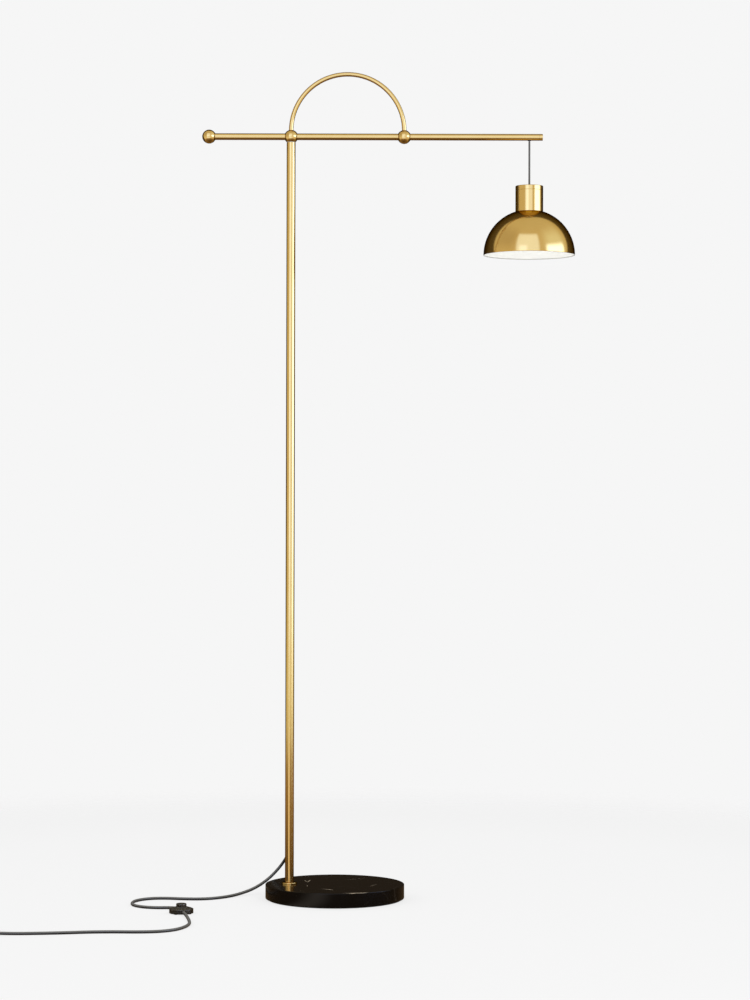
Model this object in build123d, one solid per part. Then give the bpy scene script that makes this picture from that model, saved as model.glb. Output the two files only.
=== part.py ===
from build123d import *
import os
from math import acos, cos, pi, radians, sin, sqrt, tan

# Brass floor lamp on a black marble disc, with a cross arm, an arch and a hanging half-dome shade.
# Millimetres. The origin is the centre of the base's underside on the floor, +Z is up, the arm points
# along +X and +Y is the back.

os.makedirs("parts", exist_ok=True)

# Shared clearances
SEAT_GAP = 0.05          # between pieces that are screwed, glued or pushed together
RUN_GAP = 0.05           # radial, where a piece turns or slides in another
DRILL_GAP = 0.3          # radial, round a bolt in a drilled hole
SWING_GAP = 0.3          # round the cord's bend, where the pendant swings

# Base
BASE_D = 250.0           # marble disc
BASE_T = 25.0
BASE_EDGE = 1.0          # rounded arris of the stone
PAD_T = 2.0              # felt under the stone
PAD_INSET = 4.0
STUD_D = 10.0
WASHER_T = 2.0
SPRING_WASHER_T = 2.2
SPRING_WASHER_W = 3.6    # radial width of the spring washer's wire
SPRING_WASHER_SPLIT = 1.4
SPRING_WASHER_SLANT = 20.0  # degrees, of the split
NUT_AF = 16.0            # across flats
NUT_T = 8.0
NUT_ROOM = 0.8           # between the nut and the felt
WELL_D = 36.0            # counterbore in the stone's underside
WELL_GAP = 2.0           # between the washer's rim and the counterbore
FLANGE_D = 28.0
FLANGE_T = 3.0
FLANGE_RECESS = 1.0      # the pole's end sits this deep in the flange
FLANGE_EDGE = 0.8
STUD_GRIP = 18.0         # length of thread inside the pole's insert

# Pole
POLE_X = -82.0           # pole axis, left of the disc's centre
POLE_D = 16.0
POLE_WALL = 1.2
INSERT_L = 22.0
OUTLET_Z = 80.0          # height of the cord outlet in the back of the pole
RELIEF_L = 20.0
RELIEF_ROOT_D = 11.0
RELIEF_TIP_D = 8.0
RELIEF_SPIGOT_D = 8.6
RELIEF_SPIGOT_L = 0.8    # past the pole's wall
MAINS_D = 5.5            # mains cord
LEAD_D = 3.5             # thin lead in pole and arm, and the pendant's cord
CORD_GAP = 0.05          # radial, round a cord in a bush
TAIL_BEND = 5.5          # bend of the mains tail inside the pole
TAIL_RISE = 16.0         # straight tail above that bend
SPLICE_D = 9.6           # crimped joint between mains tail and thin lead
SPLICE_L = 30.0
SPLICE_GRIP = 9.0        # depth of each cord's end in the joint

# Swivel at the pole's top
ARM_Z = 1374.0           # height of the arm's axis
BUSH_L = 30.0
BUSH_WALL = 1.8
LEAD_ROOM = 0.75         # radial, round the lead in the hollow stem
SWIVEL_WASHER_T = 0.6
GROOVE_DOWN = 14.0       # groove below the pole's end
GROOVE_DEPTH = 1.3
GROOVE_W = 2.8
STOP_RIB = 24.0          # degrees of the stem left uncut as the stop
STOP_SCREW_D = 4.0
DOG_D = 2.0
HEX_KEY = 2.0            # across flats of the small screws' sockets
HEX_DEPTH = 1.5

# Arm, balls and arch
ARM_D = 12.0
ARM_WALL = 1.0
BALL_D = 25.0
FINIAL_REACH = 148.0     # left ball from the pole
CAP_L = 6.0
CAP_PLUG_L = 5.0
ARM_OVERHANG = 24.0      # arm past the pendant
ARCH_SPAN = 204.0        # pole ball to arm ball
ARCH_LEG = 11.0          # straight legs, above the arm's axis
ARCH_D = 8.0
ARCH_SEAT = 0.4          # between the leg's end and the arm
SET_SCREW_D = 4.0
SET_SCREW_SUNK = 0.5
LEAD_BEND = 5.0
ANCHOR_D = 6.4           # crimped ferrule that holds the pendant's cord in the arm
ANCHOR_L = 8.0
ANCHOR_BACK = 3.0        # ferrule behind the bend

# Pendant
PENDANT_REACH = 430.0    # pendant axis from the pole
PENDANT_DROP = 88.0      # top of the holder cup below the arm's axis
OUTLET_BUSH_D = 6.0
OUTLET_BUSH_LIP = 0.6    # bush below the arm
OUTLET_BUSH_FLANGE = 1.0 # radial
OUTLET_BUSH_HEAD = 2.0   # head inside the arm
OUTLET_BUSH_FLARE = 5.0  # bore of the head
CUP_H = 46.4
CUP_WALL = 1.2
CUP_ROOM = 2.3           # radial, round the lampholder
CUP_EDGE = 1.0
LID_H = 8.0
LID_T = 2.0
LID_PLUG = 4.0
NIPPLE_D = 10.0
NIPPLE_WALL = 1.7
NIPPLE_SUNK = 0.3
NIPPLE_TAIL = 1.5        # nipple past the holder's top plate
NIPPLE_NUT_AF = 14.0
NIPPLE_NUT_T = 3.0
HOLDER_D = 39.5          # threaded skirt of the lampholder
HOLDER_SHOULDER = 1.75   # radial step that rests on the shade
HOLDER_WALL = 2.5
HOLDER_SKIRT = 13.0      # below the shade's top face
HOLDER_TOP_T = 3.0
WIRING_H = 8.0           # space above the core
WIRING_STEP = 2.2        # radial step that the core is pushed against
CORE_T = 12.0
THREAD_D = 27.2          # bore of the screw shell
THREAD_WALL = 0.7
THREAD_L = 24.0
THREAD_HOLE_D = 16.0
CONTACT_W = 5.0
CONTACT_T = 0.5
CONTACT_L = 12.0
CONTACT_DROP = 2.0
TERMINAL_D = 3.0
TERMINAL_L = 7.0
TERMINAL_HEAD_D = 5.5
TERMINAL_HEAD_T = 2.0
TERMINAL_PITCH = 20.0
SHADE_R = 82.5
SHADE_T = 0.8
RING_WALL = 3.2
RING_H = 8.0
BULB_CAP_D = 26.4
BULB_CAP_L = 24.0
BULB_TIP_D = 8.0
BULB_SHOULDER = 4.0      # height of the insulating cone under the tip
COLLAR_L = 17.0
COLLAR_D = 38.0
GLOBE_D = 45.0
GLOBE_T = 1.2

# Foot switch on the mains cord
SWITCH_AT = (-263.5, -180.0)
SWITCH_TURN = -75.0      # heading of the cord through the switch
SWITCH_D = 42.0
SWITCH_H = 12.8          # crown of the domed cover
SWITCH_RIM_H = 8.4       # outer edge of the cover
SWITCH_SPLIT = 4.2       # height of the joint between the shells, and of the cord
SWITCH_WALL = 2.0
SWITCH_FLOOR_T = 1.6
SWITCH_TOP_T = 1.8
SWITCH_EDGE = 1.0
SWITCH_FOOT_T = 0.8
SWITCH_FOOT_D = 6.0
SWITCH_BOSS_D = 6.0
SWITCH_SCREW_D = 2.5
SWITCH_SCREW_HEAD_D = 4.4
SWITCH_SCREW_HEAD_T = 1.3
SWITCH_SCREW_TOP = 0.6   # screw end below the cover's ceiling
SWITCH_BOSS_BITE = 0.6   # screw bosses run this far into the wall
CORD_IN = 5.3            # cord ends inside the switch's wall
CLAMP_W = 8.0
CLAMP_L = 2.6
MODULE_SIZE = (16.0, 12.0)
MODULE_H = 3.0
BUTTON_D = 18.0
BUTTON_UP = 4.9          # above the cover's crown
BUTTON_LIP = 1.3         # radial flange that keeps the button in
BUTTON_LIP_T = 1.2
BUTTON_WALL = 2.2
BUTTON_EDGE = 1.5
SPRING_D = 9.5           # mean diameter
SPRING_WIRE = 0.8
SPRING_TURNS = 4

# Mains cord, coil, tie and plug
CORD_FILL = 0.45         # share of the shorter run that an arc takes
CORD_STRAIGHT = 17.0     # cord leaves the pole straight for this length
CORD_APPROACH = 20.0     # and the switch for this, from its end inside
COIL_AT = (-594.0, -425.0)   # where the cord joins the coil's outer turn
COIL_R = 36.0            # outer turn, at the cord's centre
COIL_HALF_TURNS_IN = 4
COIL_GAP = 0.6           # between turns and between layers
COIL_LIFT = 1.0          # coil above the floor, on its tie
CLIMB_EASE = 1.5         # slope at the middle of the climb, over the mean slope
TIE_T = 0.8
TIE_W = 10.0
TIE_ROOM = 0.8           # round the bundle
PLUG_T = 13.7
PLUG_W = 35.0
PLUG_NECK_W = 15.0
PLUG_L = 37.0
PLUG_FLARE_AT = 20.0     # full width from here on
PLUG_EDGE = 2.0
PLUG_RELIEF_L = 20.0
PLUG_RELIEF_D = 10.0
PLUG_RELIEF_TIP_D = 8.0
PLUG_RELIEF_SLOTS = 4
PLUG_RELIEF_SLOT_W = 1.6
PLUG_RELIEF_CORE = 0.7   # radial, left over the cord under the slots
PLUG_LEAD_L = 44.0       # from the coil to the plug
PLUG_LEAD_END = 14.0     # level ends of that lead
PIN_D = 4.0
PIN_CORE_D = 2.6         # under the sleeve and in the body
PIN_L = 19.0
PIN_ROOT = 8.0           # pin inside the body
PIN_PITCH = 19.0
SLEEVE_D = 3.6
SLEEVE_L = 9.0
SLEEVE_ROOT = 4.0

# Levels and radii that follow from those
stone_low = PAD_T
stone_high = stone_low + BASE_T
well_depth = WASHER_T + SPRING_WASHER_T + NUT_T + NUT_ROOM
pole_low = stone_high + FLANGE_T - FLANGE_RECESS
pole_bore = POLE_D - 2 * POLE_WALL
ball_flat = sqrt((BALL_D / 2) ** 2 - (POLE_D / 2) ** 2)
pole_high = ARM_Z - ball_flat - SWIVEL_WASHER_T - SEAT_GAP
stem_d = pole_bore - 2 * BUSH_WALL
stem_bore = LEAD_D + 2 * LEAD_ROOM
stem_low = pole_high - BUSH_L
groove_z = pole_high - GROOVE_DOWN
splice_low = OUTLET_Z + TAIL_BEND + TAIL_RISE - SPLICE_GRIP
arm_left = POLE_X - FINIAL_REACH
arm_ball_x = POLE_X + ARCH_SPAN
pendant_x = POLE_X + PENDANT_REACH
cap_x = pendant_x + ARM_OVERHANG - CAP_L
outlet_low = ARM_Z - ARM_D / 2 - OUTLET_BUSH_LIP
bend_z = outlet_low - SWING_GAP - LEAD_D / 2
cup_top = ARM_Z - PENDANT_DROP
flat_z = cup_top - CUP_H
holder_body_d = HOLDER_D + 2 * HOLDER_SHOULDER
cup_d = holder_body_d + 2 * (CUP_ROOM + CUP_WALL)
rim_z = flat_z - sqrt(SHADE_R ** 2 - (cup_d / 2) ** 2)
nut_low = cup_top - LID_T - SEAT_GAP - NIPPLE_NUT_T
holder_top = nut_low - SEAT_GAP
holder_low = flat_z - HOLDER_SKIRT
wiring_high = holder_top - HOLDER_TOP_T
core_high = wiring_high - WIRING_H
core_low = core_high - CORE_T
nipple_low = wiring_high - NIPPLE_TAIL
bulb_high = core_low - CONTACT_DROP - CONTACT_T - SEAT_GAP
collar_high = bulb_high - BULB_CAP_L
globe_top = collar_high - COLLAR_L
switch_low = SWITCH_FOOT_T
switch_floor = switch_low + SWITCH_FLOOR_T
cover_rise = SWITCH_H - SWITCH_RIM_H
cover_r = ((SWITCH_D / 2) ** 2 + cover_rise ** 2) / (2 * cover_rise)
cover_z = SWITCH_H - cover_r
ceiling_r = cover_r - SWITCH_TOP_T
lip_r = BUTTON_D / 2 + BUTTON_LIP
lip_high = cover_z + sqrt(ceiling_r ** 2 - lip_r ** 2) - SEAT_GAP
button_high = SWITCH_H + BUTTON_UP
spring_high = button_high - BUTTON_WALL
spring_low = switch_floor + MODULE_H
cord_lie = MAINS_D / 2
plug_z = PLUG_T / 2

pole_at = (POLE_X, 0.0)
pendant_at = (pendant_x, 0.0)
BOTTOM = (Align.CENTER, Align.CENTER, Align.MIN)


# Shapes used by many pieces

def rod(diameter, low, high, at=(0.0, 0.0)):
    """Upright round bar between two heights."""
    return Pos(at[0], at[1], low) * Cylinder(diameter / 2, high - low, align=BOTTOM)


def pipe(outer, inner, low, high, at=(0.0, 0.0)):
    """Upright tube between two heights."""
    return rod(outer, low, high, at) - rod(inner, low, high, at)


def bar(diameter, start, end):
    """Round bar from one point to another."""
    along = Vector(end) - Vector(start)
    return Plane(origin=start, z_dir=along) * Cylinder(diameter / 2, along.length, align=BOTTOM)


def hexagon(across, low, high, at=(0.0, 0.0)):
    """Upright hexagonal bar."""
    outline = RegularPolygon(across / 2, 6, major_radius=False)
    return Pos(at[0], at[1], low) * extrude(outline, high - low)


def turned(outline, at):
    """Body turned about an upright axis from (radius, height) points."""
    corners = [(radius, 0, height) for radius, height in outline]
    face = make_face(Polyline(*corners, close=True))
    return Pos(at[0], at[1], 0) * revolve(face, Axis.Z)


def grub_screw(diameter, tip, outward, length):
    """Headless screw with a hexagon socket in its outer end."""
    body = rod(diameter, 0, length) - hexagon(HEX_KEY, length - HEX_DEPTH, length)
    return Plane(origin=tip, z_dir=outward) * body


def arc_from(start, heading, end):
    """Arc that leaves start along heading and reaches end."""
    chord = end - start
    turn = acos(max(-1.0, min(1.0, heading.dot(chord) / chord.length)))
    halfway = (heading + chord.normalized()).normalized() * (chord.length / (2 * cos(turn / 2)))
    return ThreePointArc(start, start + halfway, end)


def biarc(start, heading, end, end_heading):
    """Two tangent arcs between two points with given headings."""
    span = end - start
    both = heading + end_heading
    spread = 2 * (1 - heading.dot(end_heading))
    reach = (sqrt(span.dot(both) ** 2 + spread * span.dot(span)) - span.dot(both)) / spread
    middle = (start + end + (heading - end_heading) * reach) * 0.5
    last = arc_from(end, end_heading * -1, middle)
    return [arc_from(start, heading, middle), last]


def wound_path(stations, lead_in, lead_out):
    """Wire through stations of (point, heading), with straight ends of the given lengths."""
    edges = []
    first, first_heading = stations[0]
    last, last_heading = stations[-1]
    if lead_in:
        edges.append(Line(first - first_heading * lead_in, first))
    for (start, heading), (end, end_heading) in zip(stations, stations[1:]):
        edges += biarc(start, heading, end, end_heading)
    if lead_out:
        edges.append(Line(last, last + last_heading * lead_out))
    return Wire([edge.edges()[0] for edge in edges])


def tube_along(path, diameter):
    """Round tube swept along a path."""
    return sweep((path ^ 0) * Circle(diameter / 2), path=path)


def self_gap(path, diameter, samples=700):
    """Least gap between a wound tube's turns, measured on points along it."""
    points = [path.position_at(i / samples) for i in range(samples + 1)]
    apart = int(4 * diameter / (path.length / samples))
    nearest = min((points[i] - points[j]).length
                  for i in range(len(points)) for j in range(i + apart, len(points)))
    return nearest - diameter


def cord_run(name, points, diameter):
    """Cord along straight runs joined by arcs as large as the runs allow."""
    radii = []
    for before, corner, after in zip(points, points[1:], points[2:]):
        into = Vector(corner) - Vector(before)
        out = Vector(after) - Vector(corner)
        half_turn = radians(into.get_angle(out)) / 2
        radii.append(CORD_FILL * min(into.length, out.length) / tan(half_turn))
    path = FilletPolyline(*points, radius=radii)
    tube = tube_along(path, diameter)
    ratio = tube.volume / (path.length * pi * diameter ** 2 / 4)
    print(name, "length", round(path.length), "radii", [round(r) for r in radii],
          "volume ratio", round(ratio, 4))
    return tube


# Base: marble disc, felt pad, and the stud with its washers and nut in a well under the stone

def base_pieces():
    stone = rod(BASE_D, stone_low, stone_high)
    stone = fillet(stone.edges().filter_by(GeomType.CIRCLE), BASE_EDGE)
    well_high = stone_low + well_depth
    stone -= rod(WELL_D, stone_low, well_high, pole_at)
    stone -= rod(STUD_D + 2 * DRILL_GAP, well_high, stone_high, pole_at)

    washer_low = well_high - WASHER_T
    spring_low_z = washer_low - SPRING_WASHER_T
    nut_z = spring_low_z - NUT_T
    hole = STUD_D + 2 * DRILL_GAP
    spring_washer = pipe(hole + 2 * SPRING_WASHER_W, hole, spring_low_z, washer_low, pole_at)
    split_l = hole / 2 + SPRING_WASHER_W
    split = Pos(POLE_X + split_l / 2, 0, spring_low_z + SPRING_WASHER_T / 2)
    saw_cut = Box(split_l * 2, SPRING_WASHER_SPLIT, SPRING_WASHER_T * 3)
    spring_washer -= split * Rot(X=SPRING_WASHER_SLANT) * saw_cut
    stud_high = pole_low + STUD_GRIP
    return {
        "base_disc": stone,
        "base_pad": rod(BASE_D - 2 * PAD_INSET, 0, PAD_T),
        "base_washer": pipe(WELL_D - 2 * WELL_GAP, hole, washer_low, well_high, pole_at),
        "base_spring_washer": spring_washer,
        "base_nut": hexagon(NUT_AF, nut_z, spring_low_z, pole_at)
        - rod(STUD_D + 2 * SEAT_GAP, nut_z, spring_low_z, pole_at),
        "base_stud": rod(STUD_D, nut_z, stud_high, pole_at),
    }


# Pole: flange, tube, threaded insert, cord outlet and the leads inside

def pole_pieces():
    flange_high = stone_high + FLANGE_T
    flange = rod(FLANGE_D, stone_high, flange_high, pole_at)
    flange = chamfer(flange.edges().filter_by(GeomType.CIRCLE).sort_by(Axis.Z)[-1], FLANGE_EDGE)
    flange -= rod(STUD_D + 2 * DRILL_GAP, stone_high, flange_high, pole_at)
    flange -= rod(POLE_D + 2 * SEAT_GAP, pole_low, flange_high, pole_at)

    outlet = (POLE_X, 0, OUTLET_Z)
    outside = POLE_D / 2 + RELIEF_L
    inside = pole_bore / 2 - RELIEF_SPIGOT_L
    tube = pipe(POLE_D, pole_bore, pole_low, pole_high, pole_at)
    tube -= bar(RELIEF_SPIGOT_D + 2 * SEAT_GAP, outlet, (POLE_X, outside, OUTLET_Z))
    screw_axis_end = (POLE_X, POLE_D, groove_z)
    tube -= bar(STOP_SCREW_D + 2 * SEAT_GAP, (POLE_X, 0, groove_z), screw_axis_end)

    insert = pipe(pole_bore - 2 * SEAT_GAP, STUD_D + 2 * SEAT_GAP, pole_low, pole_low + INSERT_L, pole_at)

    cone = Cone(RELIEF_ROOT_D / 2, RELIEF_TIP_D / 2, outside, align=BOTTOM)
    relief = Plane(origin=outlet, z_dir=(0, 1, 0)) * cone
    relief -= rod(POLE_D + 2 * SEAT_GAP, 0, 2 * OUTLET_Z, pole_at)
    relief += bar(RELIEF_SPIGOT_D, (POLE_X, inside, OUTLET_Z), (POLE_X, outside - RELIEF_L / 2, OUTLET_Z))
    relief -= bar(MAINS_D + 2 * CORD_GAP, outlet, (POLE_X, 2 * outside, OUTLET_Z))

    tail_path = FilletPolyline(
        (POLE_X, outside, OUTLET_Z),
        outlet,
        (POLE_X, 0, OUTLET_Z + TAIL_BEND + TAIL_RISE),
        radius=[TAIL_BEND],
    )
    tail_high = OUTLET_Z + TAIL_BEND + TAIL_RISE
    splice_high = splice_low + SPLICE_L
    splice = rod(SPLICE_D, splice_low, splice_high, pole_at)
    splice -= rod(MAINS_D + 2 * CORD_GAP, splice_low, tail_high + SEAT_GAP, pole_at)
    lead_low = splice_high - SPLICE_GRIP
    splice -= rod(LEAD_D + 2 * CORD_GAP, lead_low - SEAT_GAP, splice_high, pole_at)
    return {
        "foot_flange": flange,
        "pole": tube,
        "pole_foot_insert": insert,
        "cord_relief": relief,
        "mains_tail": tube_along(tail_path, MAINS_D),
        "lead_splice": splice,
        "pole_lead": rod(LEAD_D, lead_low, stem_low - SWING_GAP, pole_at),
    }


# Swivel: bush in the pole, hollow stem with a stop groove, dog screw and nylon washer

def swivel_pieces():
    bush = pipe(pole_bore - 2 * SEAT_GAP, stem_d + 2 * RUN_GAP, stem_low, pole_high, pole_at)
    bush -= bar(STOP_SCREW_D + 2 * SEAT_GAP, (POLE_X, 0, groove_z), (POLE_X, POLE_D, groove_z))

    stem = rod(stem_d, stem_low, ARM_Z, pole_at)
    arm_bar = bar(ARM_D + 2 * SEAT_GAP, (POLE_X - BALL_D, 0, ARM_Z), (POLE_X + BALL_D, 0, ARM_Z))
    stem -= arm_bar
    groove_low = groove_z - GROOVE_W / 2
    groove = pipe(2 * stem_d, stem_d - 2 * GROOVE_DEPTH, groove_low, groove_low + GROOVE_W, pole_at)
    rib_sweep = 360 - STOP_RIB
    sector = Rot(Z=-90 + STOP_RIB / 2) * Cylinder(2 * stem_d, GROOVE_W, arc_size=rib_sweep, align=BOTTOM)
    stem -= groove & (Pos(POLE_X, 0, groove_low) * sector)
    stem -= rod(stem_bore, stem_low, ARM_Z, pole_at)

    dog_low = stem_d / 2 - GROOVE_DEPTH + SWING_GAP
    body_low = stem_d / 2 + SWING_GAP
    stop_length = POLE_D / 2 - body_low
    stop = grub_screw(STOP_SCREW_D, (POLE_X, body_low, groove_z), (0, 1, 0), stop_length)
    stop += bar(DOG_D, (POLE_X, dog_low, groove_z), (POLE_X, body_low + SEAT_GAP, groove_z))
    washer_d = stem_d + 2 * RUN_GAP
    return {
        "pole_top_bush": bush,
        "swivel_stop_screw": stop,
        "swivel_washer": pipe(POLE_D, washer_d, pole_high, pole_high + SWIVEL_WASHER_T, pole_at),
        "swivel_stem": stem,
    }


# Arm: tube, three balls, arch, set screws, end cap and the lead inside

def arm_pieces():
    arm_bore = ARM_D - 2 * ARM_WALL
    axis_start = (arm_left, 0, ARM_Z)
    cap_start = (cap_x, 0, ARM_Z)
    pendant_top = (pendant_x, 0, ARM_Z)
    tube = bar(ARM_D, axis_start, cap_start) - bar(arm_bore, axis_start, cap_start)
    tube -= rod(stem_bore, ARM_Z - ARM_D, ARM_Z, pole_at)
    tube -= rod(OUTLET_BUSH_D + 2 * SEAT_GAP, ARM_Z - ARM_D, ARM_Z, pendant_at)

    through = bar(ARM_D + 2 * SEAT_GAP, (arm_left - SEAT_GAP, 0, ARM_Z), cap_start)
    arch_foot = ARM_Z + ARM_D / 2 + ARCH_SEAT
    screw_tip = ARM_D / 2 + SEAT_GAP
    screw_length = BALL_D / 2 - SET_SCREW_SUNK - screw_tip
    screws = []
    balls = {}
    for name, x in (("pole_ball", POLE_X), ("arm_ball", arm_ball_x), ("arm_finial", arm_left)):
        tip = (x, screw_tip, ARM_Z)
        ball = Pos(x, 0, ARM_Z) * Sphere(BALL_D / 2) - through
        ball -= bar(SET_SCREW_D + 2 * SEAT_GAP, (x, 0, ARM_Z), (x, BALL_D, ARM_Z))
        if name != "arm_finial":
            ball -= rod(ARCH_D + 2 * SEAT_GAP, ARM_Z, ARM_Z + BALL_D, (x, 0))
        balls[name] = ball
        screws.append(grub_screw(SET_SCREW_D, tip, (0, 1, 0), screw_length))
    balls["pole_ball"] -= rod(BALL_D, ARM_Z - BALL_D, ARM_Z - ball_flat, pole_at)
    balls["pole_ball"] -= rod(stem_d + 2 * SEAT_GAP, ARM_Z - BALL_D, ARM_Z, pole_at)

    springing = ARM_Z + ARCH_LEG
    crown = (POLE_X + ARCH_SPAN / 2, 0, springing + ARCH_SPAN / 2)
    arch_path = Wire([
        Edge.make_line((POLE_X, 0, arch_foot), (POLE_X, 0, springing)),
        Edge.make_three_point_arc((POLE_X, 0, springing), crown, (arm_ball_x, 0, springing)),
        Edge.make_line((arm_ball_x, 0, springing), (arm_ball_x, 0, arch_foot)),
    ])

    plug_start = (cap_x - CAP_PLUG_L, 0, ARM_Z)
    cap = bar(ARM_D, cap_start, (cap_x + CAP_L, 0, ARM_Z))
    cap = chamfer(cap.edges().filter_by(GeomType.CIRCLE).sort_by(Axis.X)[-1], FLANGE_EDGE / 2)
    cap += bar(arm_bore - 2 * SEAT_GAP, plug_start, cap_start)

    lead_path = FilletPolyline(
        (POLE_X, 0, stem_low),
        (POLE_X, 0, ARM_Z),
        pendant_top,
        (pendant_x, 0, outlet_low),
        radius=[LEAD_BEND, LEAD_BEND],
    )
    anchor_end = pendant_x - LEAD_BEND - ANCHOR_BACK
    anchor_ends = ((anchor_end - ANCHOR_L, 0, ARM_Z), (anchor_end, 0, ARM_Z))
    anchor = bar(ANCHOR_D, *anchor_ends) - bar(LEAD_D + 2 * CORD_GAP, *anchor_ends)

    wall_in = ARM_Z - arm_bore / 2
    bush = rod(OUTLET_BUSH_D, outlet_low, ARM_Z, pendant_at)
    head_d = OUTLET_BUSH_D + 2 * OUTLET_BUSH_FLANGE
    head = rod(head_d, wall_in - OUTLET_BUSH_HEAD, wall_in + OUTLET_BUSH_HEAD, pendant_at)
    head &= bar(arm_bore - 2 * SEAT_GAP, axis_start, cap_start)
    bush = bush - rod(head_d, wall_in + OUTLET_BUSH_HEAD, ARM_Z, pendant_at) + head
    bush -= rod(LEAD_D + 2 * CORD_GAP, outlet_low, ARM_Z, pendant_at)
    bush -= rod(OUTLET_BUSH_FLARE, wall_in, ARM_Z, pendant_at)
    return {
        "arm_tube": tube,
        **balls,
        "ball_set_screws": Compound(children=screws),
        "arch_rod": tube_along(arch_path, ARCH_D),
        "arm_end_cap": cap,
        "arm_lead": tube_along(lead_path, LEAD_D),
        "cord_anchor": anchor,
        "cord_outlet_bush": bush,
    }


# Pendant: cord, holder cup, lampholder, shade and bulb

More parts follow.
